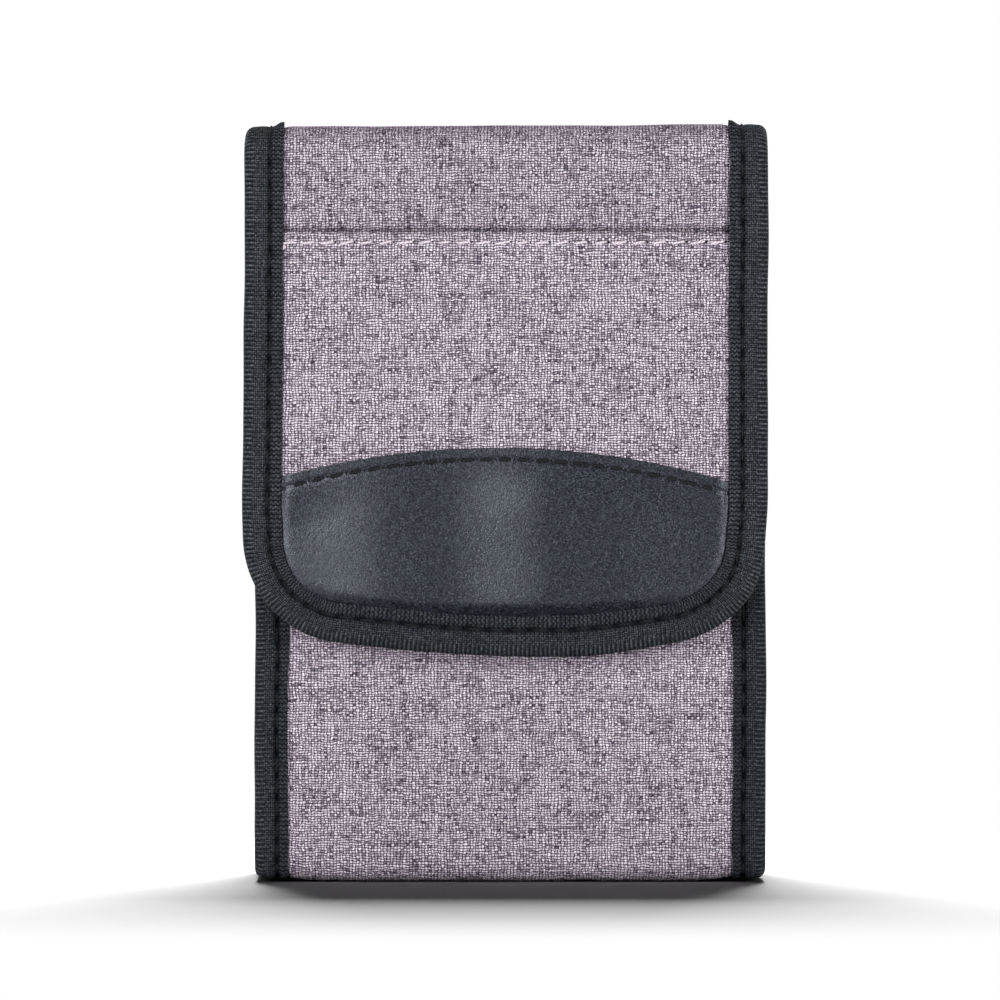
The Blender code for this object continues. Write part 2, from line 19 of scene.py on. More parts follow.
import bpy
import numpy as np
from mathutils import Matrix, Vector


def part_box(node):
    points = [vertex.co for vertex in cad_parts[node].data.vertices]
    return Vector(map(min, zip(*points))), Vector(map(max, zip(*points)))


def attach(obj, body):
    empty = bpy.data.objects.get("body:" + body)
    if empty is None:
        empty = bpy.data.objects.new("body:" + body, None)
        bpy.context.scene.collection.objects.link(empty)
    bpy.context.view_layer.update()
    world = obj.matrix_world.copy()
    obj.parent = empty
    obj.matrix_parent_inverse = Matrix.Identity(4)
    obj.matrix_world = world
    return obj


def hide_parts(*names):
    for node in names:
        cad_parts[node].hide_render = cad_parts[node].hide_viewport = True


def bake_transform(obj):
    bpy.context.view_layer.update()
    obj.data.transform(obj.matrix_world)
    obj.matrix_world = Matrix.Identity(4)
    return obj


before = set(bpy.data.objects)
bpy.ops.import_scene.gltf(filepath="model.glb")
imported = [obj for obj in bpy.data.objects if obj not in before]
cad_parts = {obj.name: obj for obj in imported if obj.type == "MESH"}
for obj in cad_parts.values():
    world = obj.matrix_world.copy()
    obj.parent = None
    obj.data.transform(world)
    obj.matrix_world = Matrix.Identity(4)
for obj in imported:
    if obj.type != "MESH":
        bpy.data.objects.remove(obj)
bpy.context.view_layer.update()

log = logging.getLogger("pouch")

MM = 0.001
MAP = "Cloth"

WHITE = (1.0, 1.0, 1.0, 1.0)

Piece = bpy.types.Object
Material = bpy.types.Material
Tree = bpy.types.NodeTree
Socket = bpy.types.NodeSocket
Array = np.ndarray
Pair = tuple[Array, Array]
Drawn = tuple[Socket, Socket, float]
Along = Callable[[Array], Array]
Field = Callable[[Array, Array], Array]
Placer = Callable[[Array], Array]


# ---- Small helpers ----


def linear(code: str) -> tuple[float, float, float, float]:
    """Turn an sRGB hex colour into linear values.

    Args:
        code: six hex digits.

    Returns:
        Red, green, blue and an alpha of 1.
    """
    shares = [int(code[i : i + 2], 16) / 255 for i in (0, 2, 4)]
    red, green, blue = (c / 12.92 if c <= 0.04045 else ((c + 0.055) / 1.055) ** 2.4 for c in shares)
    return red, green, blue, 1.0


def smooth(share: Array) -> Array:
    """Ease a share from 0 to 1, held at both ends."""
    share = np.clip(share, 0.0, 1.0)
    return share * share * (3 - 2 * share)


def dip(distance: Array, width: float) -> Array:
    """A soft hollow of depth 1 at distance 0."""
    return np.exp(-((distance / width) ** 2))


def always(value: float) -> Along:
    """A width or a level that is the same all along."""
    return lambda along: np.full_like(along, value)


def wander(distance: Array, length: float, seed: int) -> Array:
    """Hand-sewn unevenness along a line.

    Args:
        distance: where along the line, in metres.
        length: the typical length of one sway.
        seed: picks the sways, so that each line has its own.

    Returns:
        A value from about -1 to 1 at each distance.
    """
    picks = np.random.default_rng(seed)
    total = np.zeros_like(distance)
    for stretch in (1.0, 0.57, 0.31):
        turn = picks.uniform(0, 2 * math.pi)
        total += stretch * np.sin(2 * math.pi * distance / (length * stretch) + turn)
    return total / 1.9


def mottle(first: Array, second: Array, length: float, seed: int) -> Array:
    """Soft unevenness over a surface, from about -1 to 1.

    Args:
        first: first coordinate, in metres.
        second: second coordinate.
        length: the typical size of one hump.
        seed: picks the humps.

    Returns:
        The height at each point.
    """
    picks = np.random.default_rng(seed)
    total = np.zeros_like(first)
    for _ in range(9):
        heading = picks.uniform(0, math.pi)
        wave = length * picks.uniform(0.7, 1.6)
        way = first * math.cos(heading) + second * math.sin(heading)
        total += np.sin(2 * math.pi * way / wave + picks.uniform(0, 2 * math.pi))
    return total / 4.5


# ---- Bodies and folds ----


class Body(Enum):
    """The rigid bodies of the CAD model."""

    POUCH = "pouch"
    FLAP_TOP = "flap_top"
    FLAP_FRONT = "flap_front"

    def carry(self, piece: Piece) -> None:
        """Make a piece move with this body."""
        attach(piece, self.value)


class Side(Enum):
    """Left and right as the camera sees them."""

    LEFT = -1
    RIGHT = 1

    @property
    def word(self) -> str:
        """The side's name in a piece's name."""
        return self.name.lower()


@dataclass(frozen=True)
class FoldLine:
    """A bend that cloth crosses, from the body before its start to the body after its end."""

    before: Body
    after: Body
    start: Vector
    end: Vector

    def carry(self, piece: Piece) -> None:
        """Bake a piece's transform into its mesh; neither body carries it."""
        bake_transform(piece)


Carrier = Body | FoldLine


# ---- Sizes and the side line ----


@dataclass(frozen=True)
class PouchSizes:
    """Main sizes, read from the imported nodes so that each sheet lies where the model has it."""

    height: float
    body_half: float
    flap_half: float
    front_y: float
    back_y: float
    flap_y: float
    flap_low: float
    mouth_z: float
    seam_z: float
    gusset_top: float
    bend: float = 6.0 * MM
    corner: float = 17.0 * MM
    bow: float = 1.6 * MM
    gusset_inset: float = 4.5 * MM
    body_tape: float = 5.5 * MM
    flap_tape: float = 6.4 * MM
    body_thick: float = 5.0 * MM
    flap_thick: float = 4.0 * MM

    @classmethod
    def from_frame(cls) -> PouchSizes:
        """Read the sizes from the CAD nodes' boxes.

        Returns:
            The sizes.
        """
        body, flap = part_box("body_canvas"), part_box("flap_canvas")
        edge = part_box("flap_binding")
        return cls(
            height=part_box("top_canvas")[1].z,
            body_half=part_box("right_body_binding")[1].x,
            flap_half=edge[1].x,
            front_y=body[0].y,
            back_y=body[1].y,
            flap_y=flap[0].y,
            flap_low=edge[0].z,
            mouth_z=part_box("mouth_binding")[1].z,
            seam_z=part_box("flap_band_canvas")[0].z,
            gusset_top=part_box("right_gusset_top_binding")[1].z,
        )


@dataclass(frozen=True)
class Stretch:
    """One straight run or one quarter bend of the side line."""

    start: float
    end: float
    y: float
    z: float
    heading: float
    radius: float


class SideLine:
    """The outer line of the canvas seen from the side, walked from the mouth with the pouch on its left."""

    def __init__(self, sizes: PouchSizes) -> None:
        """Walk down the front, under the base, up the back, over the top and down the flap.

        Args:
            sizes: the main sizes.
        """
        self.sizes = sizes
        self.stretches: list[Stretch] = []
        self.length = 0.0
        self._y, self._z, self._heading = sizes.front_y, sizes.mouth_z, -math.pi / 2
        self.drift = lambda across, along: (0.0, 0.0, 0.0)
        bend = sizes.bend
        self.front_foot = self._walk(sizes.mouth_z - bend)
        self.base_front = self._walk(0.0, bend)
        self.base_back = self._walk(sizes.back_y - sizes.front_y - 2 * bend)
        self.back_foot = self._walk(0.0, bend)
        self.back_head = self._walk(sizes.height - 2 * bend)
        self.top_back = self._walk(0.0, bend)
        self.top_front = self._walk(sizes.back_y - sizes.flap_y - 2 * bend)
        self.flap_head = self._walk(0.0, bend)
        self.flap_end = self._walk(sizes.height - sizes.flap_low - bend)
        self.root = (self.back_head + self.top_back) / 2
        self.crease = (self.top_front + self.flap_head) / 2
        self.mid_base = (self.base_front + self.base_back) / 2
        self.mid_top = (self.top_back + self.top_front) / 2
        self.seam = self.flap_end - (sizes.seam_z - sizes.flap_low)
        self.drift = self._sewn_drift

    def _sewn_drift(self, across: Array, along: Array) -> tuple[Array, ...]:
        """How far the sewing has pulled the cloth from its true place, as on the real pouch.

        Args:
            across: across the strip.
            along: along the strip.

        Returns:
            The shifts sideways, along and of the level.
        """
        sizes = self.sizes
        front = 1 - smooth((along - self.front_foot) / (self.base_back - self.front_foot))
        flap = smooth((along - self.mid_top) / (self.flap_head - self.mid_top))
        left = smooth(-across / sizes.flap_half)
        right = smooth(across / sizes.flap_half)
        belly = left * dip(along - self.seam - 43 * MM, 13 * MM)
        waist = right * dip(along - self.flap_end + 17 * MM, 6 * MM) * flap
        sideways = 0.40 * MM * front - 0.40 * MM * belly + flap * (0.0045 * across - 0.29 * MM)
        sideways = sideways - 0.55 * MM * waist
        sag = 0.45 * dip(across + 11 * MM, 16 * MM) + 0.95 * dip(across - 13 * MM, 13 * MM)
        onward = MM * sag * smooth((along - self.flap_end + 14 * MM) / (14 * MM))
        on_base = smooth((along - self.front_foot) / (3 * MM)) * smooth((self.back_foot - along) / (3 * MM))
        at_edge = smooth((np.abs(across) - self.sizes.body_half + 9 * MM) / (7 * MM))
        on_top = smooth((along - self.root) / (4 * MM)) * smooth((self.flap_head - along) / (4 * MM))
        bound = smooth((np.abs(across) - sizes.flap_half + sizes.flap_tape + 0.9 * MM) / (0.9 * MM))
        level = on_top * (0.006 * across + 0.14 * MM * left + 0.30 * MM * bound)
        level = level - 0.38 * MM * on_base * at_edge
        for start, end in ((self.front_foot, self.base_front), (self.base_back, self.back_foot)):
            share = np.clip((along - start) / (end - start), 0.0, 1.0)
            level = level + 1.0 * MM * np.sin(math.pi * share) ** 2
        return sideways, onward, level

    def _walk(self, run: float, radius: float = 0.0) -> float:
        """Add a straight run, or a quarter bend to the left.

        Args:
            run: length of the straight run.
            radius: radius of the bend, or 0 for a run.

        Returns:
            The distance along at its end.
        """
        reach = radius * math.pi / 2 if radius else run
        part = Stretch(self.length, self.length + reach, self._y, self._z, self._heading, radius)
        self.stretches.append(part)
        self.length += reach
        end = self.place(np.array([[0.0, self.length, 0.0]]))[0]
        self._y, self._z = end[1], end[2]
        self._heading += math.pi / 2 if radius else 0.0
        return self.length

    def place(self, pattern: Array) -> Array:
        """Wrap points of the pattern round the side line.

        Args:
            pattern: rows of (across, along, level).

        Returns:
            Rows of (x, y, z).
        """
        across, along, level = pattern.T
        sideways, onward, lift = self.drift(across, along)
        along, level = along + onward, level + lift
        ends = np.array([part.end for part in self.stretches])
        index = np.minimum(np.searchsorted(ends, along - 1e-12), len(ends) - 1)
        points = np.empty_like(pattern)
        points[:, 0] = across + sideways
        for number, part in enumerate(self.stretches):
            here = index == number
            walked = along[here] - part.start
            out = part.heading - math.pi / 2
            if part.radius:
                turn = out + walked / part.radius
                reach = level[here] + part.radius
                points[here, 1] = part.y - math.cos(out) * part.radius + np.cos(turn) * reach
                points[here, 2] = part.z - math.sin(out) * part.radius + np.sin(turn) * reach
            else:
                points[here, 1] = part.y + math.cos(part.heading) * walked + math.cos(out) * level[here]
                points[here, 2] = part.z + math.sin(part.heading) * walked + math.sin(out) * level[here]
        return points


@dataclass(frozen=True)
class EdgeLine:
    """A line along an edge of a pattern, with the direction out of the cloth at each point."""

    points: Array
    outward: Array
    distance: Array

    @classmethod
    def through(cls, points: Sequence[Sequence[float]], outward: Sequence[Sequence[float]]) -> EdgeLine:
        """Measure a line through (across, along) points.

        Args:
            points: the points.
            outward: the direction out of the cloth at each point.

        Returns:
            The measured line.
        """
        line = np.array(points, float)
        steps = np.hypot(*np.diff(line, axis=0).T)
        return cls(line, np.array(outward, float), np.concatenate([[0.0], np.cumsum(steps)]))

    @property
    def length(self) -> float:
        """The length of the whole line."""
        return float(self.distance[-1])

    def at(self, distance: Array) -> Pair:
        """Points and outward directions at distances along the line.

        Args:
            distance: the distances.

        Returns:
            Both, as rows of (across, along).
        """
        points = np.stack([np.interp(distance, self.distance, c) for c in self.points.T], axis=1)
        outward = np.stack([np.interp(distance, self.distance, c) for c in self.outward.T], axis=1)
        return points, outward / np.linalg.norm(outward, axis=1, keepdims=True)


class Pattern:
    """The outline of the long strip: body width up to the back, flap width from the crease, rounded end."""

    def __init__(self, line: SideLine) -> None:
        """Work out the rounded end, whose corner and end arcs run into each other.

        Args:
            line: the side line that the strip follows.
        """
        sizes = line.sizes
        self.line, self.sizes = line, sizes
        self.corner_x = sizes.flap_half - sizes.corner
        self.end_radius = (self.corner_x**2 + sizes.bow**2) / (2 * sizes.bow)
        reach = self.end_radius - sizes.corner
        self.lean = math.asin(self.corner_x / reach)
        self.end_centre = line.flap_end - self.end_radius
        self.corner_s = self.end_centre + reach * math.cos(self.lean)

    def top_share(self, along: Array) -> Array:
        """How far a place is from the root fold to the crease, held at both ends."""
        return np.clip((along - self.line.root) / (self.line.crease - self.line.root), 0.0, 1.0)

    def half_width(self, along: Array) -> Array:
        """Half the width of the strip."""
        share = self.top_share(along)
        return self.sizes.body_half + (self.sizes.flap_half - self.sizes.body_half) * share

    def tape(self, along: Array) -> Array:
        """The visible width of the binding."""
        share = self.top_share(along)
        return self.sizes.body_tape + (self.sizes.flap_tape - self.sizes.body_tape) * share

    def thickness(self, along: Array) -> Array:
        """The thickness of the padded strip: thinner from the root fold on.

        Args:
            along: where along the strip.

        Returns:
            The thickness.
        """
        line, sizes = self.line, self.sizes
        share = smooth((along - line.back_head) / (line.top_back - line.back_head))
        return sizes.body_thick + (sizes.flap_thick - sizes.body_thick) * share

    def inset(self, across: Array, along: Array) -> Array:
        """The distance from the outline inwards, at the sides and round the flap's end.

        Args:
            across: where across the strip.
            along: where along the strip.

        Returns:
            The distance, negative outside.
        """
        side = self.half_width(along) - np.abs(across)
        end = self.end_radius - np.hypot(across, along - self.end_centre)
        beyond_x, beyond_s = np.abs(across) - self.corner_x, along - self.corner_s
        turn = np.arctan2(beyond_s, beyond_x)
        in_corner = (turn > 0) & (turn < math.pi / 2 - self.lean)
        corner = self.sizes.corner - np.hypot(beyond_x, beyond_s)
        rest = np.where(along > self.corner_s - self.sizes.corner, np.minimum(side, end), side)
        return np.where(in_corner, corner, rest)

    def side_edge(self, side: Side, start: float, end: float) -> EdgeLine:
        """One long edge of the strip, from start to end.

        Args:
            side: left or right.
            start: where it starts along the strip.
            end: where it ends.

        Returns:
            The edge.
        """
        stations = np.linspace(start, end, 60)
        points = np.stack([side.value * self.half_width(stations), stations], axis=1)
        return EdgeLine.through(points, [(side.value, 0.0)] * len(stations))

    def flap_edge(self) -> EdgeLine:
        """The flap's edge from the middle of the top, down the right, round the end and up the left.

        Returns:
            The edge.
        """
        points, outward = [], []
        corner, end = self.sizes.corner, self.end_radius
        for station in np.linspace(self.line.mid_top, self.corner_s, 60)[:-1]:
            points.append((float(self.half_width(station)), station))
            outward.append((1.0, 0.0))
        for turn in np.linspace(0.0, math.pi / 2 - self.lean, 40):
            outward.append((math.cos(turn), math.sin(turn)))
            points.append((self.corner_x + math.cos(turn) * corner, self.corner_s + math.sin(turn) * corner))
        for turn in np.linspace(self.lean, 0.0, 30)[1:]:
            outward.append((math.sin(turn), math.cos(turn)))
            points.append((math.sin(turn) * end, self.end_centre + math.cos(turn) * end))
        points += [(-x, s) for x, s in points[-2::-1]]
        outward += [(-x, s) for x, s in outward[-2::-1]]
        return EdgeLine.through(points, outward)


# ---- Mesh work ----


def activate(piece: Piece) -> None:
    """Deselect everything, then select one piece and make it active.

    Args:
        piece: the piece.
    """
    bpy.ops.object.select_all(action="DESELECT")
    piece.select_set(True)
    bpy.context.view_layer.objects.active = piece


def choose(piece: Piece, kind: str, chosen: Array) -> None:
    """Select some vertices or edges of a piece, and stay in edit mode.

    Args:
        piece: the piece.
        kind: VERT or EDGE.
        chosen: whether each one is selected.
    """
    activate(piece)
    bpy.ops.object.mode_set(mode="EDIT")
    bpy.ops.mesh.select_mode(type=kind)
    bpy.ops.mesh.select_all(action="DESELECT")
    bpy.ops.object.mode_set(mode="OBJECT")
    (piece.data.vertices if kind == "VERT" else piece.data.edges).foreach_set("select", chosen)
    bpy.ops.object.mode_set(mode="EDIT")


def shape_with(piece: Piece, kind: str, **settings: object) -> None:
    """Add a modifier and apply it.

    Args:
        piece: the piece to shape.
        kind: Blender's name for the modifier.
        settings: the modifier's own settings.
    """
    activate(piece)
    modifier = piece.modifiers.new(kind.title(), kind)
    for name, value in settings.items():
        setattr(modifier, name, value)
    bpy.ops.object.modifier_apply(modifier=modifier.name)


def read_points(piece: Piece) -> Array:
    """The vertices of a piece as rows of (x, y, z).

    Args:
        piece: the piece.

    Returns:
        One row for each vertex.
    """
    points = np.empty(len(piece.data.vertices) * 3)
    piece.data.vertices.foreach_get("co", points)
    return points.reshape(-1, 3)


def write_points(piece: Piece, points: Array) -> None:
    """Move the vertices of a piece."""
    piece.data.vertices.foreach_set("co", points.astype(np.float32).ravel())
    piece.data.update()


def write_map(piece: Piece, flat: Array) -> None:
    """Give a piece a UV map in metres from each vertex's place on the flat cloth.

    Args:
        piece: the piece.
        flat: each vertex's place on the flat cloth.
    """
    mesh = piece.data
    layer = mesh.uv_layers.get(MAP) or mesh.uv_layers.new(name=MAP)
    corners = np.empty(len(mesh.loops), np.int32)
    mesh.loops.foreach_get("vertex_index", corners)
    layer.data.foreach_set("uv", flat[corners].astype(np.float32).ravel())


def write_share(piece: Piece, name: str, values: Array) -> None:
    """Give a piece a value at each vertex that a material can read."""
    layer = piece.data.attributes.get(name) or piece.data.attributes.new(name, "FLOAT", "POINT")
    layer.data.foreach_set("value", values.astype(np.float32))


def add_grid(name: str, columns: int, rows: int) -> tuple[Piece, Array, Array]:
    """Add a flat unit grid, the start of each sheet of cloth.

    Args:
        name: the piece's name.
        columns: cells from side to side.
        rows: cells from end to end.

    Returns:
        The piece, and each vertex's share of the way from side to side and from end to end.
    """
    bpy.ops.mesh.primitive_grid_add(x_subdivisions=columns, y_subdivisions=rows, size=1.0, calc_uvs=False)
    piece = bpy.context.object
    piece.name = piece.data.name = name
    points = read_points(piece)
    return piece, points[:, 0] + 0.5, points[:, 1] + 0.5


def turn_up(piece: Piece) -> None:
    """Turn an open sheet over if its first face looks down."""
    if piece.data.polygons[0].normal.z < 0:
        piece.data.flip_normals()


def signed_volume(piece: Piece) -> float:
    """The volume inside a closed piece, negative if its faces point inwards.

    Args:
        piece: the piece.

    Returns:
        The volume in cubic metres.
    """
    mesh = piece.data
    mesh.calc_loop_triangles()
    corners = np.empty(len(mesh.loop_triangles) * 3, np.int32)
    mesh.loop_triangles.foreach_get("vertices", corners)
    points = read_points(piece)[corners].reshape(-1, 3, 3)
    return float(np.einsum("ij,ij->i", points[:, 0], np.cross(points[:, 1], points[:, 2])).sum() / 6)


def close_up(piece: Piece, angle: float = 40.0) -> None:
    """Make the faces of a closed piece point outwards and shade it smooth up to an angle in degrees.

    Args:
        piece: the piece.
        angle: the angle in degrees.
    """
    if signed_volume(piece) < 0:
        piece.data.flip_normals()
    activate(piece)
    bpy.ops.object.shade_smooth_by_angle(angle=math.radians(angle))


def thicken(
    piece: Piece, thick: float, place: Placer, angle: float = 40.0, bevel: float = 0.0, even: bool = False
) -> None:
    """Make a closed shell of a sheet and wrap it.

    Args:
        piece: the open sheet on the pattern, at the level of its outer face.
        thick: the cloth's thickness.
        place: puts pattern points in space.
        angle: the angle in degrees up to which it is shaded smooth.
        bevel: how far its cut edges are rounded.
        even: whether the shell keeps its thickness round bends.
    """
    turn_up(piece)
    shape_with(piece, "SOLIDIFY", thickness=thick, offset=-1.0, use_even_offset=even)
    if bevel:
        rounding = {"segments": 2, "limit_method": "ANGLE", "angle_limit": math.radians(60)}
        shape_with(piece, "BEVEL", width=bevel, **rounding)
    write_points(piece, place(read_points(piece)))
    close_up(piece, angle)


def sheet_facts(piece: Piece) -> tuple[tuple[float, float], float]:
    """The flat size of an open sheet and its flat area, from its UV map.

    Args:
        piece: the piece.

    Returns:
        Its width and length, and its area.
    """
    mesh = piece.data
    flat = np.empty(len(mesh.loops) * 2)
    mesh.uv_layers[MAP].data.foreach_get("uv", flat)
    flat = flat.reshape(-1, 2)
    width, length = (float(v) for v in flat.max(0) - flat.min(0))
    area = 0.0
    for face in mesh.polygons:
        u, v = flat[face.loop_indices].T
        area += abs(np.dot(u, np.roll(v, -1)) - np.dot(v, np.roll(u, -1))) / 2
    return (width, length), min(area, width * length)


# ---- Finishes ----


def add_node(
    tree: Tree,
    kind: str,
    links: dict[int | str, object] | None = None,
    output: int | str = 0,
    stops: Sequence[tuple[float, str]] = (),
    **settings: object,
) -> Socket:
    """Add a node with its settings and links.

    Args:
        tree: the material's node tree.
        kind: the node's type without its ShaderNode prefix.
        links: a socket or a value for each input by name or number.
        output: the output that is handed back.
        stops: places and colours of a colour ramp.
        settings: the node's own settings.

    Returns:
        The chosen output socket.
    """
    node = tree.nodes.new("ShaderNode" + kind)
    for name, value in settings.items():
        setattr(node, name, value)
    for key, value in (links or {}).items():
        if isinstance(value, Socket):
            tree.links.new(value, node.inputs[key])
        else:
            node.inputs[key].default_value = value
    for number, (place, colour) in enumerate(stops):
        ramp = node.color_ramp.elements
        stop = ramp[number] if number < 2 else ramp.new(place)
        stop.position, stop.color = place, linear(colour)
    return node.outputs[output]


@dataclass(frozen=True, kw_only=True)
class Finish:
    """A finish: its common name, its gloss, and a pattern that each kind of finish draws."""

    name: str
    roughness: float
    specular: float

    def build(self) -> Material:
        """Make the material.

        Returns:
            The material, with the colour and the relief of its pattern.
        """
        finish = bpy.data.materials.new(self.name)
        finish.use_nodes = True
        tree = finish.node_tree
        shader = tree.nodes["Principled BSDF"]
        shader.inputs["Roughness"].default_value = self.roughness
        shader.inputs["Specular IOR Level"].default_value = self.specular
        colour, height, depth = self.draw(tree)
        bump = add_node(tree, "Bump", {"Strength": 1.0, "Distance": depth, "Height": height})
        tree.links.new(colour, shader.inputs["Base Color"])
        tree.links.new(bump, shader.inputs["Normal"])
        return finish

    def draw(self, tree: Tree) -> Drawn:
        """Draw the pattern: its colour, its height as a share, and how deep that is in metres."""
        raise NotImplementedError


@dataclass(frozen=True, kw_only=True)
class WovenCloth(Finish):
    """A woven fabric: how its threads lie on the cloth's own map, which is in metres, and their dye.

    Two attributes of a piece may change it: one paints shade on it, darkening it, and "rib" is how far its
    ribs show. A third, "fold", is how straight they run. The gaps between the threads are darkened as painted
    shade.
    """

    warp: float
    weft: float
    repeat: int
    colours: tuple[str, ...]
    stops: tuple[float, ...]
    streak: float
    relief: float
    gap: float = 1.0
    depth: float = 1.0
    rib: float = 0.0
    arm: float = 0.40 * MM
    blotch: float = 0.12
    unevenness: float = 0.9
    jitter: float = 0.0
    speckle: float = 0.0
    weft_shade: float = 1.0
    patchiness: float = 0.0
    # The colour that painted shade darkens the cloth towards
    soil: str = "0d0d15"
    # How many sways, shakes, patches and clouds of tone there are to a metre
    sways: float = 260.0
    shakes: float = 1500.0
    patches: float = 420.0
    clouds: float = 130.0

    def draw(self, tree: Tree) -> Drawn:
        """Draw the threads, their dye, the ribs, and the painted shade: in the gaps between threads and from
        the piece's shade attribute.

        Args:
            tree: the material's node tree.

        Returns:
            Colour, height and depth of the pattern.
        """
        node = partial(add_node, tree)
        place = node("UVMap", uv_map=MAP)
        threads = self.threads(tree, place)
        number = node("VectorMath", {0: threads}, operation="FLOOR")
        warp_no = node("SeparateXYZ", {0: number})
        order = node("Math", {0: warp_no, 1: warp_no.node.outputs[1]}, operation="ADD")
        order = node("Math", {0: order, 1: float(self.repeat)}, operation="FLOORED_MODULO")
        over = node("Math", {0: order, 1: self.repeat - 1.5}, operation="LESS_THAN")
        if self.patchiness:
            shift = node("TexNoise", {"Vector": place, "Scale": self.patches, "Detail": 2.0})
            shift = node("Math", {0: shift, 1: 0.52}, operation="SUBTRACT")
            settings = {"operation": "MULTIPLY_ADD", "use_clamp": True}
            over = node("Math", {0: shift, 1: self.patchiness, 2: over}, **settings)
        height = self.crossings(tree, threads, over)
        if self.rib:
            height = self.ribs(tree, place, height)
        heather = self.dye(tree, place, number, over)
        # Painted shade: the colour darkens into the gaps between the threads
        shade = node("Math", {0: height, 1: self.depth}, operation="POWER")
        shade = node("Mix", {0: self.gap, 6: WHITE, 7: shade}, 2, data_type="RGBA")
        multiply = {"data_type": "RGBA", "blend_type": "MULTIPLY"}
        colour = node("Mix", {0: 1.0, 6: heather, 7: shade}, 2, **multiply)
        # Painted shade from the piece's attribute: seam creases, stitch grooves, beside tape edges and shaded
        # stretches
        worn = node("Attribute", output="Fac", attribute_name="worn")
        colour = node("Mix", {0: worn, 6: colour, 7: linear(self.soil)}, 2, data_type="RGBA")
        return colour, height, self.relief

    def threads(self, tree: Tree, place: Socket) -> Socket:
        """Count the threads across the cloth, with the sway that weaving leaves.

        Args:
            tree: the material's node tree.
            place: the cloth's own map.

        Returns:
            Warp and weft numbers, whose fractions say where a place is within a thread.
        """
        node = partial(add_node, tree)
        half, noise = (0.5, 0.5, 0.5), {"Vector": place, "Scale": self.sways, "Detail": 4.0, "Roughness": 0.6}
        sway = node("TexNoise", noise, "Color")
        sway = node("VectorMath", {0: sway, 1: half}, operation="SUBTRACT")
        sway = node("VectorMath", {0: sway, "Scale": self.unevenness}, operation="SCALE")
        if self.jitter:
            shake = node("TexNoise", {"Vector": place, "Scale": self.shakes, "Detail": 1.0}, "Color")
            shake = node("VectorMath", {0: shake, 1: half}, operation="SUBTRACT")
            sway = node("VectorMath", {0: shake, 1: (self.jitter,) * 3, 2: sway}, operation="MULTIPLY_ADD")
        pitch = (1 / self.warp, 1 / self.weft, 0.0)
        return node("VectorMath", {0: place, 1: pitch, 2: sway}, operation="MULTIPLY_ADD")

    def crossings(self, tree: Tree, threads: Socket, over: Socket) -> Socket:
        """Round each thread off and let it dive under the next one.

        Args:
            tree: the material's node tree.
            threads: warp and weft numbers.
            over: whether the warp lies over the weft.

        Returns:
            The relief of the threads, from 0 in the gaps to 1.
        """
        node = partial(add_node, tree)
        within = node("VectorMath", {0: threads}, operation="FRACTION")
        span = {1: (math.pi, math.pi, 0.0), 2: (-math.pi / 2, -math.pi / 2, 0.0)}
        within = node("VectorMath", {0: within, **span}, operation="MULTIPLY_ADD")
        warp = node("SeparateXYZ", {0: node("VectorMath", {0: within}, operation="COSINE")})
        weft = warp.node.outputs[1]
        rises = []
        for crown, along, dive in ((warp, weft, 0.55), (weft, warp, 0.35)):
            rise = node("Math", {0: along, 1: dive, 2: 1 - dive}, operation="MULTIPLY_ADD")
            rises.append(node("Math", {0: crown, 1: rise}, operation="MULTIPLY"))
        return node("Mix", {0: over, 2: rises[1], 3: rises[0]})

    def dye(self, tree: Tree, place: Socket, number: Socket, over: Socket) -> Socket:
        """Dye every thread in streaks along its run, with specks and clouds.

        Args:
            tree: the material's node tree.
            place: the cloth's own map.
            number: the whole number of each warp and weft thread.
            over: whether the warp lies over the weft.

        Returns:
            The colour.
        """
        node = partial(add_node, tree)
        warp_no, flat = node("SeparateXYZ", {0: number}), node("SeparateXYZ", {0: place})
        dyes = []
        lanes = ((warp_no, flat.node.outputs[1], 0.0), (warp_no.node.outputs[1], flat, 40.0))
        for count, way, shift in lanes:
            run = node("Math", {0: way, 1: 1 / self.streak}, operation="MULTIPLY")
            lane = node("Math", {0: count, 1: 7.31, 2: shift}, operation="MULTIPLY_ADD")
            spot = node("CombineXYZ", {0: run, 1: lane})
            noise = {"Vector": spot, "Scale": 1.0, "Detail": 3.0, "Roughness": 0.62}
            dyes.append(node("TexNoise", noise, noise_dimensions="2D"))
        dye = node("Mix", {0: over, 2: dyes[1], 3: dyes[0]})
        if self.speckle:
            chance = node("TexWhiteNoise", {0: number}, noise_dimensions="2D")
            chance = node("Math", {0: chance, 1: 0.5}, operation="SUBTRACT")
            dye = node("Math", {0: chance, 1: self.speckle, 2: dye}, operation="MULTIPLY_ADD")
        cloud = node("TexNoise", {"Vector": place, "Scale": self.clouds, "Detail": 3.0})
        cloud = node("Math", {0: cloud, 1: 0.5}, operation="SUBTRACT")
        dye = node("Math", {0: cloud, 1: self.blotch, 2: dye}, operation="MULTIPLY_ADD")
        heather = node("ValToRGB", {0: dye}, stops=tuple(zip(self.stops, self.colours)))
        if self.weft_shade < 1:
            lit = node("Mix", {0: over, 2: self.weft_shade, 3: 1.0})
            heather = node("VectorMath", {0: heather, "Scale": lit}, operation="SCALE")
        return heather

    def ribs(self, tree: Tree, place: Socket, height: Socket) -> Socket:
        """Add ribs that run in chevrons, and straight across where the cloth is folded.

        Args:
            tree: the material's node tree.
            place: the cloth's own map.
            height: the relief of the threads.

        Returns:
            The relief with the ribs.
        """
        node = partial(add_node, tree)
        run = node("SeparateXYZ", {0: place})
        fold = node("Attribute", output="Fac", attribute_name="fold")
        slant = node("Math", {0: fold, 1: -0.72, 2: 0.80}, operation="MULTIPLY_ADD")
        zigzag = node("Math", {0: run.node.outputs[1], 1: self.arm}, operation="PINGPONG")
        run = node("Math", {0: zigzag, 1: slant, 2: run}, operation="MULTIPLY_ADD")
        share = node("Attribute", output="Fac", attribute_name="rib")
        return node("Mix", {0: share, 2: height, 3: ripple(tree, run, self.rib)})


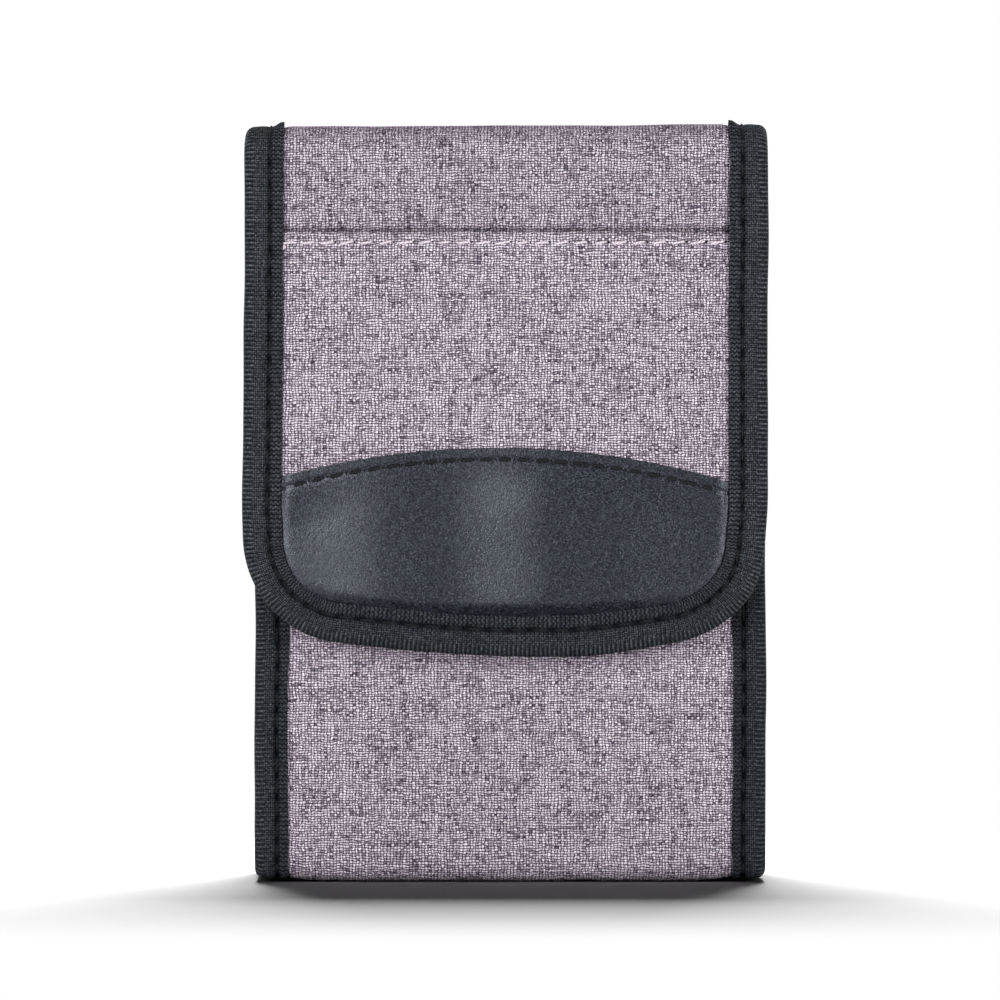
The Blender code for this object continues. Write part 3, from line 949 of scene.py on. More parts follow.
def ripple(tree: Tree, run: Socket, pitch: float) -> Socket:
    """Turn a distance into even waves.

    Args:
        tree: the material's node tree.
        run: the distance, in metres.
        pitch: from wave to wave.

    Returns:
        The waves, from 0 to 1.
    """
    wave = add_node(tree, "Math", {0: run, 1: 2 * math.pi / pitch}, operation="MULTIPLY")
    wave = add_node(tree, "Math", {0: wave}, operation="SINE")
    return add_node(tree, "Math", {0: wave, 1: 0.5, 2: 0.5}, operation="MULTIPLY_ADD")


CANVAS = WovenCloth(
    # Polyester canvas of two-tone yarn in a plain weave: matt, with short dark and pale streaks
    name="Heathered polyester canvas",
    warp=0.522 * MM, weft=0.412 * MM, repeat=2, colours=("63576b", "bdafbf", "e4d6e6", "ede2ef"),
    stops=(0.19, 0.42, 0.56, 0.76), streak=5.5 * MM, depth=1.45, unevenness=2.0, patchiness=2.8,
    jitter=0.85, relief=0.13 * MM, roughness=0.90, specular=0.10, speckle=0.32, weft_shade=0.84,
)
TAPE = WovenCloth(
    # Polyester grosgrain binding: black yarn that greys where the ribs catch the light at the fold
    name="Black woven binding tape",
    warp=0.375 * MM, weft=0.36 * MM, repeat=3, colours=("25282d", "3c4047", "505459", "65686e"),
    stops=(0.26, 0.45, 0.58, 0.78), streak=0.5 * MM, depth=1.5, speckle=0.12, relief=0.16 * MM,
    roughness=0.85, specular=0.12, rib=0.75 * MM,
)
LINING = WovenCloth(
    # Smooth nylon pack cloth: fine flat threads with a faint gloss
    name="Charcoal nylon lining",
    warp=0.28 * MM, weft=0.28 * MM, repeat=2, colours=("202125", "2b2c30", "333438", "424349"),
    stops=(0.30, 0.45, 0.58, 0.75), streak=4.0 * MM, gap=0.35, relief=0.03 * MM, roughness=0.50,
    specular=0.40,
)
WEBBING = WovenCloth(
    # Nylon webbing: thick warp yarns in a herringbone, slightly shiny
    name="Black nylon webbing",
    warp=0.60 * MM, weft=0.50 * MM, repeat=3, colours=("1b1d21", "24262b", "2e3136", "3b3e44"),
    stops=(0.30, 0.45, 0.58, 0.75), streak=7.0 * MM, gap=0.90, relief=0.25 * MM, roughness=0.60,
    specular=0.18, rib=1.0 * MM, arm=2.5 * MM,
)


@dataclass(frozen=True, kw_only=True)
class Leatherette(Finish):
    """Embossed PU leather: a dark coat with a fine pebble grain and a broad soft gloss."""

    name: str = "Black grained leatherette"
    roughness: float = 0.30
    crown_roughness: float = 0.22
    specular: float = 0.5
    tint: tuple[float, float, float, float] = (0.84, 0.89, 1.0, 1.0)
    # Colours from hollow to crown: grain tone, with painted shade in the hollows and paler crowns
    stops: tuple[tuple[float, str], ...] = ((0.15, "07090c"), (0.5, "181b20"), (0.9, "41464e"))
    grain: float = 0.25 * MM
    stray: float = 0.6 * MM
    relief: float = 0.050 * MM

    def draw(self, tree: Tree) -> Drawn:
        """Draw the pebbles, glossier on their crowns; the colour follows their height, with painted shade in
        the hollows and paler crowns.

        Args:
            tree: the material's node tree.

        Returns:
            Colour, height and depth of the pattern.
        """
        node = partial(add_node, tree)
        place = node("TexCoord", output="Object")
        bend = node("TexNoise", {"Vector": place, "Scale": 900.0, "Detail": 2.0}, "Color")
        bend = node("VectorMath", {0: bend, "Scale": self.stray}, operation="SCALE")
        spot = node("VectorMath", {0: place, 1: bend}, operation="ADD")
        cells = {"Vector": spot, "Scale": 1 / self.grain, "Smoothness": 0.35}
        pebble = node("TexVoronoi", cells, feature="SMOOTH_F1")
        fine = node("TexNoise", {"Vector": place, "Scale": 3900.0, "Detail": 2.0, "Roughness": 0.7})
        fine = node("Math", {0: fine, 1: 0.7}, operation="MULTIPLY")
        height = node("Math", {0: pebble, 1: -0.6, 2: fine}, operation="MULTIPLY_ADD")
        # Grain tone that follows the pebbles' height: the hollows darker as painted shade, the crowns paler
        tone = node("MapRange", {"Value": height, "From Min": -0.16, "From Max": 0.34})
        colour = node("ValToRGB", {0: tone}, stops=self.stops)
        ends = {"To Min": self.roughness, "To Max": self.crown_roughness}
        shader = tree.nodes["Principled BSDF"]
        tree.links.new(node("MapRange", {"Value": tone, **ends}), shader.inputs["Roughness"])
        shader.inputs["Specular Tint"].default_value = self.tint
        return colour, height, self.relief


@dataclass(frozen=True, kw_only=True)
class SewingThread(Finish):
    """Spun polyester thread: matt, with a fine twist."""

    colour: str
    pale: str
    roughness: float = 0.75
    specular: float = 0.3
    twist: float = 0.62 * MM
    relief: float = 0.06 * MM

    def draw(self, tree: Tree) -> Drawn:
        """Draw the plies, which wind round the thread.

        Args:
            tree: the material's node tree.

        Returns:
            Colour, height and depth of the pattern.
        """
        run = add_node(tree, "SeparateXYZ", {0: add_node(tree, "UVMap", uv_map=MAP)})
        run = add_node(tree, "Math", {0: run, 1: run.node.outputs[1]}, operation="ADD")
        ply = ripple(tree, run, self.twist)
        colour = add_node(tree, "ValToRGB", {0: ply}, stops=((0.1, self.colour), (0.8, self.pale)))
        return colour, ply, self.relief


@dataclass(frozen=True, kw_only=True)
class PilePlush(Finish):
    """Hook-and-loop tape: a black ground with hooks in rows, or a tangle of loops."""

    pitch: float
    tangle: float
    roughness: float = 0.7
    specular: float = 0.3
    dark: str = "08090b"
    pale: str = "2a2b2f"
    relief: float = 0.25 * MM

    def draw(self, tree: Tree) -> Drawn:
        """Draw the tufts.

        Args:
            tree: the material's node tree.

        Returns:
            Colour, height and depth of the pattern.
        """
        node = partial(add_node, tree)
        place = node("TexCoord", output="Object")
        stray = node("TexNoise", {"Vector": place, "Scale": 1800.0}, "Color")
        stray = node("VectorMath", {0: stray, "Scale": self.tangle}, operation="SCALE")
        spot = node("VectorMath", {0: place, 1: stray}, operation="ADD")
        tuft = node("TexVoronoi", {"Vector": spot, "Scale": 1 / self.pitch, "Randomness": 0.35})
        colour = node("ValToRGB", {0: tuft}, stops=((0.1, self.pale), (0.6, self.dark)))
        return colour, node("Math", {0: 1.0, 1: tuft}, operation="SUBTRACT"), self.relief


def thread(name: str, colour: str, pale: str) -> Material:
    """Make a sewing thread's material."""
    return SewingThread(name=name, colour=colour, pale=pale).build()


@dataclass
class Wardrobe:
    """Every finish of the pouch, made once."""

    canvas: Material = field(default_factory=CANVAS.build)
    tape: Material = field(default_factory=TAPE.build)
    lining: Material = field(default_factory=LINING.build)
    webbing: Material = field(default_factory=WEBBING.build)
    leather: Material = field(default_factory=Leatherette().build)

    def __post_init__(self) -> None:
        """Spin the threads, and make both halves of the closure."""
        self.dark_thread = thread("Black polyester thread", "040506", "121419")
        self.pale_thread = thread("Pale mauve polyester thread", "b6a8b1", "d7cbd3")
        self.grey_thread = thread("Charcoal polyester thread", "34373d", "5a5e66")
        # Near-black blobs that stand for the painted shade in needle holes
        self.shade = thread("Thread sunk in a needle hole", "020203", "0a0a0c")
        self.hooks = PilePlush(name="Black hook tape", pitch=0.9 * MM, tangle=0.1 * MM).build()
        self.loops = PilePlush(name="Black loop tape", pitch=0.6 * MM, tangle=1.2 * MM).build()


# ---- Cloth ----


@dataclass(frozen=True)
class PressedCloth:
    """How far a cloth that is sewn down at its edges swells over its padding, on a flat grid."""

    rise: Array
    width: float
    length: float

    def sample(self, share: Array, along: Array) -> Array:
        """The rise at a share from side to side and a distance along, read between the grid's points.

        Args:
            share: the share of the width.
            along: where along the strip.

        Returns:
            The rise.
        """
        rows, columns = self.rise.shape
        x = np.clip(share, 0.0, 1.0) * (columns - 1)
        y = np.clip(along / self.length, 0.0, 1.0) * (rows - 1)
        i, j = np.minimum(x.astype(int), columns - 2), np.minimum(y.astype(int), rows - 2)
        u, v = x - i, y - j
        grid = self.rise
        low = grid[j, i] * (1 - u) + grid[j, i + 1] * u
        high = grid[j + 1, i] * (1 - u) + grid[j + 1, i + 1] * u
        return low * (1 - v) + high * v


@dataclass(frozen=True)
class ClothPress:
    """Cloth simulation of a sheet that is stitched down round its edge and pushed up by its foam.

    The sheet is simulated at twenty times its size, where Blender's cloth is stable.
    """

    width: float
    length: float
    cell: float = 2.1 * MM
    ease: float = 0.004
    scale: float = 20.0
    frames: int = 25

    def run(self, sewn_down: Field) -> PressedCloth:
        """Simulate the sheet.

        Args:
            sewn_down: says which points (across, along) are held by the binding or a seam.

        Returns:
            The rise of the cloth above its held edge, in metres.
        """
        columns, rows = round(self.width / self.cell), round(self.length / self.cell)
        piece, u, v = add_grid("pressed_cloth", columns, rows)
        across, along = (u - 0.5) * self.width, v * self.length
        held = sewn_down(across, along)
        picks = np.random.default_rng(7)
        start = np.where(held, 0.0, 0.0008 * self.scale * picks.standard_normal(len(held)) * 0.1)
        write_points(piece, np.stack([across * self.scale, along * self.scale, start], axis=1))
        group = piece.vertex_groups.new(name="sewn")
        group.add([int(i) for i in np.nonzero(held)[0]], 1.0, "REPLACE")
        activate(piece)
        cloth = piece.modifiers.new("Cloth", "CLOTH")
        cloth.settings.quality = 5
        cloth.settings.mass = 0.3
        cloth.settings.tension_stiffness = 15.0
        cloth.settings.compression_stiffness = 15.0
        cloth.settings.shear_stiffness = 5.0
        cloth.settings.bending_stiffness = 0.5
        cloth.settings.vertex_group_mass = group.name
        cloth.settings.shrink_min = -self.ease
        scene = bpy.context.scene
        gravity = scene.gravity.copy()
        scene.gravity = (0.0, 0.0, 9.8)
        for number in range(1, self.frames + 1):
            scene.frame_set(number)
        bpy.ops.object.modifier_apply(modifier=cloth.name)
        scene.gravity = gravity
        scene.frame_set(1)
        rise = read_points(piece)[:, 2].reshape(rows + 1, columns + 1) / self.scale
        bpy.data.objects.remove(piece, do_unlink=True)
        return PressedCloth(rise, self.width, self.length)


class StripCloth:
    """The faces of the long padded strip, with every sheet's level over the pattern."""

    tape_top = -0.10 * MM
    tape_thick = 0.60 * MM
    canvas = 0.70 * MM
    lining = 0.45 * MM
    leather = 0.80 * MM
    seam_depth = 1.40 * MM
    patch_height = 33.7 * MM
    patch_rise = 5.2 * MM
    patch_middle = -1.5 * MM
    patch_lift = 0.55 * MM
    patch_groove = 1.9 * MM
    top_groove = 2.1 * MM

    def __init__(self, pattern: Pattern) -> None:
        """Simulate the canvas of the whole strip once.

        Args:
            pattern: the outline of the strip.
        """
        self.pattern, self.line, self.sizes = pattern, pattern.line, pattern.sizes
        self.under_tape = self.tape_top - self.tape_thick - 0.05 * MM
        press = ClothPress(width=2 * self.sizes.flap_half, length=self.line.flap_end)
        self.press = press.run(self.sewn_down)
        half = self.sizes.flap_half - self.sizes.flap_tape
        self.patch_radius = (half**2 + self.patch_rise**2) / (2 * self.patch_rise)

    def sewn_down(self, across: Array, along: Array) -> Array:
        """Where the canvas is held down by the binding."""
        tape = self.pattern.tape(along)
        return (self.pattern.inset(across, along) < tape) | (along < self.sizes.body_tape)

    def crown(self, across: Array, along: Array) -> Array:
        """How far the cloth has climbed from the bound edge, from 0 to about 1.

        Args:
            across: where across the strip.
            along: where along the strip.

        Returns:
            The share.
        """
        share = across / (2 * self.pattern.half_width(along)) + 0.5
        rise = self.press.sample(share, along)
        return np.tanh(rise / (1.4 * MM - 0.8 * MM * self.on_top(along)))

    def on_top(self, along: Array) -> Array:
        """Whether a place is on the top of the pouch, where the cloth is drawn tight, from 0 to 1."""
        climb = (along - self.line.back_head) / (4 * MM)
        return smooth(climb) * smooth((self.line.flap_head - along) / (4 * MM))

    def slack(self, along: Array) -> Array:
        """How deep a tape's stitches sink: least on the top, where the cloth is drawn tight."""
        return 1 - 0.9 * self.on_top(along)

    def canvas_top(self, across: Array, along: Array) -> Array:
        """Level of the outer face of the canvas.

        Args:
            across: where across the strip.
            along: where along the strip.

        Returns:
            The level.
        """
        line = self.line
        crown = self.crown(across, along)
        inset = self.pattern.inset(across, along)
        tight = self.on_top(along) * smooth((inset - self.pattern.tape(along) + 0.4 * MM) / (1.0 * MM))
        crown = np.maximum(crown, tight)
        level = self.under_tape * (1 - crown)
        level += crown * 0.10 * MM * mottle(across, along, 16 * MM, 11)
        level += 0.28 * MM * crown * self.on_top(along)
        level += crown * self.swell(across, along)
        level -= 1.25 * MM * self.sewn_line(inset, along)
        past = along - line.seam
        level -= self.seam_depth * np.where(past < 0, np.exp(past / (0.8 * MM)), np.exp(-past / (0.30 * MM)))
        raised = smooth(past / (0.8 * MM)) * (1 - smooth((past - 5.5 * MM) / (2.5 * MM)))
        level += 0.22 * MM * raised * crown
        level -= 0.16 * MM * dip(past - self.top_groove, 0.5 * MM) * crown
        covered = smooth((self.below_patch_edge(across, along) + 0.3 * MM) / (0.9 * MM))
        pressed = np.minimum(level, self.patch_top(across, along) - self.leather)
        level += (pressed - level) * covered
        on_base = (along > line.front_foot) & (along < line.back_foot)
        return np.where(on_base, np.minimum(level, -0.04 * MM), level)

    def sewn_line(self, inset: Array, along: Array) -> Array:
        """Where the tape's stitches pull the cloth down under the tape, from 0 to 1.

        Args:
            inset: the distance inside the outline.
            along: where along the strip.

        Returns:
            The share.
        """
        mouth = dip(along - 3.9 * MM, 0.75 * MM)
        groove = np.where(along > self.line.mid_top, 4.2 * MM, 3.7 * MM)
        return np.maximum(dip(inset - groove, 0.75 * MM), mouth)

    def worn(self, across: Array, along: Array) -> Array:
        """How much painted shade darkens the canvas: in the seam crease, beside the tape's free edge, and on
        the band above the seam.

        Args:
            across: where across the strip.
            along: where along the strip.

        Returns:
            The share.
        """
        past = along - self.line.seam
        seam = np.where(past < 0, dip(past, 0.50 * MM), dip(past, 0.28 * MM))
        seam = seam * (1.1 + 0.45 * wander(across, 9 * MM, 8))
        beside = self.pattern.inset(across, along) - self.pattern.tape(along)
        band = smooth((self.line.seam - along) / (2 * MM)) * smooth((along - self.line.crease) / (6 * MM))
        # Painted shade: the seam crease, a painted shadow along the tape's edge, and the band above the seam
        dark = 0.28 * seam + 0.35 * dip(np.maximum(beside, 0), 0.30 * MM) + 0.09 * band
        return np.clip(dark, 0.0, 0.9)

    def patch_edge(self, across: Array) -> Array:
        """Where the arched top edge of the patch lies.

        Args:
            across: where across the strip.

        Returns:
            The distance along.
        """
        radius = self.patch_radius
        off = across - self.patch_middle
        return self.line.flap_end - self.patch_height + radius - np.sqrt(radius**2 - off**2)

    def below_patch_edge(self, across: Array, along: Array) -> Array:
        """The distance below the patch's top edge."""
        return along - self.patch_edge(np.clip(across, -self.sizes.flap_half, self.sizes.flap_half))

    def swell(self, across: Array, along: Array) -> Array:
        """The soft waves of the padding across the patch, which fade out above its edge.

        Args:
            across: where across the strip.
            along: where along the strip.

        Returns:
            The rise.
        """
        x, below = across / MM, self.below_patch_edge(across, along)
        wave = -1.0 + 1.25 * smooth((x + 36) / 16) - 0.30 * smooth((x + 19) / 11)
        wave += 1.15 * smooth((x + 9) / 16) - 0.25 * smooth((x - 6) / 10) - 1.70 * smooth((x - 14) / 22)
        share = 0.4 * smooth((below + 14 * MM) / (12 * MM))
        share = share + 0.6 * smooth((below - self.patch_groove) / (8 * MM))
        return wave * share * MM

    def patch_top(self, across: Array, along: Array) -> Array:
        """Level of the outer face of the patch: tucked under the tape and full in the middle.

        Args:
            across: where across the strip.
            along: where along the strip.

        Returns:
            The level.
        """
        inset = self.pattern.inset(across, along)
        climb = 1 - np.exp(-np.maximum(inset - self.sizes.flap_tape - 0.1 * MM, 0) / (0.38 * MM))
        tucked, full = self.under_tape - 0.05 * MM, self.patch_lift + self.swell(across, along)
        level = tucked + (full - tucked) * climb
        below = self.below_patch_edge(across, along)
        level -= 0.20 * MM * dip(below - self.patch_groove, 0.32 * MM)
        level += climb * 0.08 * MM * mottle(across, along, 22 * MM, 5)
        return level

    def lining_top(self, across: Array, along: Array) -> Array:
        """Level of the face of the lining that lies on the foam.

        Args:
            across: where across the strip.
            along: where along the strip.

        Returns:
            The level.
        """
        thick = self.pattern.thickness(along)
        crown = self.crown(across, along)
        middle = -(thick - self.lining)
        edge = np.maximum(middle, -(thick - 1.1 * MM))
        level = edge + (middle - edge) * crown
        level += 0.60 * MM * self.sewn_line(self.pattern.inset(across, along), along)
        return level + 0.12 * MM * crown * mottle(across, along, 20 * MM, 23)


@dataclass(frozen=True)
class SheetCut:
    """One sheet that is cut from the strip: where it starts and ends, and how it is made up."""

    name: str
    start: float
    end: float
    level: Field
    thick: float
    tuck: float = 1.5 * MM
    columns: int = 84
    row: float = 1.0 * MM
    close_start: float = 0.0
    close_end: float = 0.0
    trim: float = 0.0


def stations(cut: SheetCut) -> Array:
    """Where the rows of a sheet lie: closer together next to an end that shows a seam.

    Args:
        cut: the sheet, whose close_start and close_end are the lengths with fine rows.

    Returns:
        Distances along, from start to end.
    """
    parts = [np.array([cut.start])]
    middle_start, middle_end = cut.start + cut.close_start, cut.end - cut.close_end
    for low, high, step in (
        (cut.start, middle_start, cut.row * 0.22),
        (middle_start, middle_end, cut.row),
        (middle_end, cut.end, cut.row * 0.22),
    ):
        if high - low > 1e-9:
            parts.append(np.linspace(low, high, max(2, round((high - low) / step)) + 1)[1:])
    return np.concatenate(parts)


def cut_sheet(strip: StripCloth, cut: SheetCut) -> Piece:
    """Make a sheet of the strip: a flat grid, cut, raised by its padding, and wrapped.

    Args:
        strip: the strip that the sheet is part of.
        cut: the sheet.

    Returns:
        The finished closed shell.
    """
    pattern = strip.pattern
    rows = stations(cut)
    piece, u, v = add_grid(cut.name, cut.columns, len(rows) - 1)
    along = rows[np.rint(v * (len(rows) - 1)).astype(int)]
    across = (2 * u - 1) * (pattern.half_width(along) - cut.tuck)
    write_points(piece, np.stack([across, along, np.zeros_like(along)], axis=1))
    if cut.trim:
        across, along = trim_to_outline(piece, pattern, cut.trim)
    write_map(piece, np.stack([across, along], axis=1))
    write_share(piece, "worn", strip.worn(across, along))
    flat, area = sheet_facts(piece)
    write_points(piece, np.stack([across, along, cut.level(across, along)], axis=1))
    thicken(piece, cut.thick, strip.line.place)
    return piece


def trim_to_outline(piece: Piece, pattern: Pattern, tuck: float) -> Pair:
    """Cut a flat sheet to the rounded end of the flap.

    Args:
        piece: the flat sheet on the pattern.
        pattern: the pattern with the outline.
        tuck: how far inside the outline the cut runs.

    Returns:
        The across and along of the vertices that are left.
    """
    points = read_points(piece)
    outside = pattern.inset(points[:, 0], points[:, 1]) < tuck - 0.45 * MM
    choose(piece, "VERT", outside)
    bpy.ops.mesh.delete(type="VERT")
    bpy.ops.mesh.select_all(action="DESELECT")
    bpy.ops.mesh.select_non_manifold()
    bpy.ops.object.mode_set(mode="OBJECT")
    rim = np.zeros(len(piece.data.vertices), bool)
    piece.data.vertices.foreach_get("select", rim)
    across, along, _ = read_points(piece).T
    inset = pattern.inset(across, along)
    step = 0.01 * MM
    slope_x = (pattern.inset(across + step, along) - inset) / step
    slope_s = (pattern.inset(across, along + step) - inset) / step
    move = np.where(rim & (along > pattern.corner_s - 1 * MM), tuck - inset, 0.0)
    return across + slope_x * move, along + slope_s * move


# ---- Binding tape ----


@dataclass(frozen=True)
class TapeRun:
    """A binding tape that is folded over an edge."""

    name: str
    edge: EdgeLine
    leaf: Along
    inner_leaf: Along
    stack: Along
    place: Placer
    seed: int
    fold: float = 1.5 * MM
    thick: float = 0.60 * MM
    top: float = -0.10 * MM
    groove: float = 4.2 * MM
    groove_depth: float = 0.85 * MM
    pitch: float = 3.6 * MM
    lift: Along = always(0.0)
    slack: Along = always(1.0)
    # Extra painted shade over the tape
    soil: Field = lambda across, along: np.zeros_like(along)
    step: float = 0.8 * MM
    closed: bool = False

    def surface(self, share: Array, distance: Array) -> tuple[Array, Array, Array]:
        """Fold the flat tape over the edge.

        Args:
            share: how far across the tape, from the outer leaf's free edge to the inner leaf's.
            distance: how far along the edge.

        Returns:
            The pattern point, the distance across the tape, and how much it is folded there.
        """
        spot, outward = self.edge.at(distance)
        leaf, inner, stack = self.leaf(spot[:, 1]), self.inner_leaf(spot[:, 1]), self.stack(spot[:, 1])
        leaf = leaf + 0.16 * MM * wander(distance, 31 * MM, self.seed)
        radius = self.fold
        arc = radius * math.pi / 2
        marks = np.cumsum(
            [leaf - radius, np.full_like(leaf, arc), stack - 2 * radius, np.full_like(leaf, arc)], axis=0
        )
        reach = share * (marks[3] + inner - radius)
        turn_1 = np.clip((reach - marks[0]) / radius, 0, math.pi / 2)
        turn_2 = np.clip((reach - marks[2]) / radius, 0, math.pi / 2)
        inset = np.maximum(leaf - reach, radius) - radius * np.sin(turn_1)
        inset += radius * (1 - np.cos(turn_2)) + np.maximum(reach - marks[3], 0)
        level = -radius * (1 - np.cos(turn_1)) - np.clip(reach - marks[1], 0, marks[2] - marks[1])
        level -= radius * np.sin(turn_2)
        folded = smooth((reach - marks[0] + 0.5 * MM) / (0.8 * MM))
        folded *= 1 - smooth((reach - marks[3] - 0.1 * MM) / (0.6 * MM))
        on_top = smooth(1 - (reach - marks[0]) / radius)
        beneath = smooth((reach - marks[3]) / radius + 1)
        pull = self.groove_depth * dip(inset - self.groove, 0.36 * MM) * self.slack(spot[:, 1])
        pull *= 1 + 0.35 * np.cos(2 * math.pi * distance / self.pitch)
        lip = 0.16 * MM * smooth((inset - leaf + 0.9 * MM) / (0.9 * MM))
        belly = 0.10 * MM * dip(inset - 0.5 * (radius + self.groove), 0.9 * MM)
        level += on_top * (belly - pull - lip) + beneath * (0.5 * pull - belly)
        level += on_top * self.lift(spot[:, 1]) * smooth((inset - self.groove) / (leaf - self.groove))
        inset = inset - 0.14 * MM * wander(distance, 47 * MM, self.seed + 1)
        across = spot[:, 0] - outward[:, 0] * inset
        along = spot[:, 1] - outward[:, 1] * inset
        return np.stack([across, along, self.top + level], axis=1), reach, folded

    def build(self) -> Piece:
        """Make the tape.

        Returns:
            The finished piece.
        """
        columns = max(8, round(self.edge.length / self.step))
        piece, u, v = add_grid(self.name, columns, 52)
        start = 3 / columns if self.closed else 0.0
        points, reach, folded = self.surface(v, np.maximum(u, start) * self.edge.length)
        if self.closed:
            share = np.interp(u * columns, [0, 1, 2, 3], [0.20, 0.60, 0.88, 1.0])
            middle = (points.max(axis=0) + points.min(axis=0)) / 2
            side = np.sign(middle[0])
            middle[0] = side * (np.abs(points[:, 0]).max() - 2.6 * MM)
            points[:, [0, 2]] = middle[[0, 2]] + (points[:, [0, 2]] - middle[[0, 2]]) * share[:, None]
            points[:, 1] -= 0.15 * MM * np.sqrt(1 - share**2)
        write_points(piece, points)
        write_map(piece, np.stack([u * self.edge.length, reach], axis=1))
        write_share(piece, "fold", folded)
        # The tape is drawn darker on the inner strip of its outer leaf, and painted shade fills the stitch
        # groove, most at the needle holes
        across, along = self.edge.at(u * self.edge.length)[0].T
        leaf, groove = self.leaf(along), self.groove
        inner = smooth((leaf - reach - groove + 0.8 * MM) / (0.8 * MM)) * (reach < leaf)
        soil = self.soil(across, along) + 0.20 * inner
        hole_shade = 0.70 + 0.30 * np.cos(2 * math.pi * u * self.edge.length / self.pitch)
        write_share(piece, "worn", soil + hole_shade * dip(leaf - reach - groove, 0.32 * MM))
        write_share(piece, "rib", 0.22 + 0.46 * folded + 0.40 * inner)
        flat, _ = sheet_facts(piece)
        thicken(piece, self.thick, self.place, angle=50.0, even=not self.closed)
        return piece


# ---- Stitches ----


@dataclass(frozen=True)
class StitchRow:
    """A row of equal stitches of a lockstitch machine."""

    name: str
    reach: float = 2.5 * MM
    thread: float = 0.40 * MM
    slant: float = 0.0
    stray: float = 0.03
    seed: int = 1

    def build(self, centres: Array, headings: Array, place: Placer, beneath: bool = False) -> Piece:
        """Sew the row.

        Args:
            centres: the middle of each stitch on the pattern, its level being the cloth's surface.
            headings: the direction of the row at each stitch, as unit (across, along).
            place: puts pattern points in space.
            beneath: whether the stitches stand out on the lower side.

        Returns:
            All stitches of the row as one piece.
        """
        points, faces = self.one_stitch()
        picks = np.random.default_rng(self.seed)
        turn = self.slant + picks.normal(0.0, self.stray, len(centres))
        pulled = 1 + picks.normal(0.0, 2 * self.stray, len(centres))
        cos, sin = np.cos(turn), np.sin(turn)
        way_x, way_s = headings.T
        along = np.stack([way_x * cos - way_s * sin, way_x * sin + way_s * cos])
        aside = np.stack([-along[1], along[0]])
        flat = centres[:, None, :2] + (along * pulled).T[:, None, :] * points[None, :, :1]
        flat = flat + aside.T[:, None, :] * points[None, :, 1:2]
        level = centres[:, 2, None] + points[None, :, 2] * (-1 if beneath else 1)
        rows = np.concatenate([flat, level[:, :, None]], axis=2).reshape(-1, 3)
        count = len(points)
        all_faces = [tuple(i + n * count for i in face) for n in range(len(centres)) for face in faces]
        mesh = bpy.data.meshes.new(self.name)
        mesh.from_pydata([tuple(p) for p in place(rows)], [], all_faces)
        mesh.update()
        piece = bpy.data.objects.new(self.name, mesh)
        bpy.context.scene.collection.objects.link(piece)
        write_map(piece, np.tile(points[:, :2], (len(centres), 1)))
        close_up(piece, 80.0)
        return piece

    def one_stitch(self) -> tuple[Array, list[tuple[int, ...]]]:
        """Model one stitch: a stout thread whose ends dive into their needle holes.

        Returns:
            The points and the faces of the stitch.
        """
        bpy.ops.mesh.primitive_uv_sphere_add(segments=8, ring_count=7, radius=0.5)
        master = bpy.context.object
        points = read_points(master)
        points = points[:, [2, 1, 0]] * np.array([self.reach, self.thread, self.thread])
        reach = points[:, 0] / (self.reach / 2)
        full = np.sqrt(np.clip(1 - reach**4, 0, 1)) / np.maximum(np.sqrt(np.clip(1 - reach**2, 0, 1)), 0.2)
        points[:, 1:] *= full[:, None]
        points[:, 2] += self.thread * (0.20 - 0.75 * reach**4)
        faces = [tuple(face.vertices) for face in master.data.polygons]
        bpy.data.objects.remove(master, do_unlink=True)
        return points, faces


def row_along(edge: EdgeLine, inset: float, pitch: float, start: float) -> tuple[Array, ...]:
    """Spread stitches along an edge.

    Args:
        edge: the edge of the cloth.
        inset: how far inside the edge the row runs.
        pitch: distance from stitch to stitch, on the edge.
        start: where the row starts along the edge.

    Returns:
        Across and along of each stitch, its heading, and its distance along the edge.
    """
    distance = np.arange(start + pitch / 2, edge.length, pitch)
    spot, outward = edge.at(distance)
    return spot - outward * inset, np.stack([-outward[:, 1], outward[:, 0]], axis=1), distance


def row_through(corners: Sequence[Sequence[float]], pitch: float, level: float) -> Pair:
    """Spread stitches along straight lines from corner to corner.

    Args:
        corners: (across, along) points.
        pitch: distance from stitch to stitch.
        level: the cloth's surface.

    Returns:
        The middle and the heading of each stitch.
    """
    spots, headings = [], []
    for start, end in zip(corners, corners[1:]):
        start, end = np.array(start), np.array(end)
        length = float(np.linalg.norm(end - start))
        heading = (end - start) / length
        steps = np.arange(pitch / 2, length, pitch)
        spots += [start + heading * step for step in steps]
        headings += [heading] * len(steps)
    return np.column_stack([np.array(spots), np.full(len(spots), level)]), np.array(headings)


# ---- Sub-assemblies ----


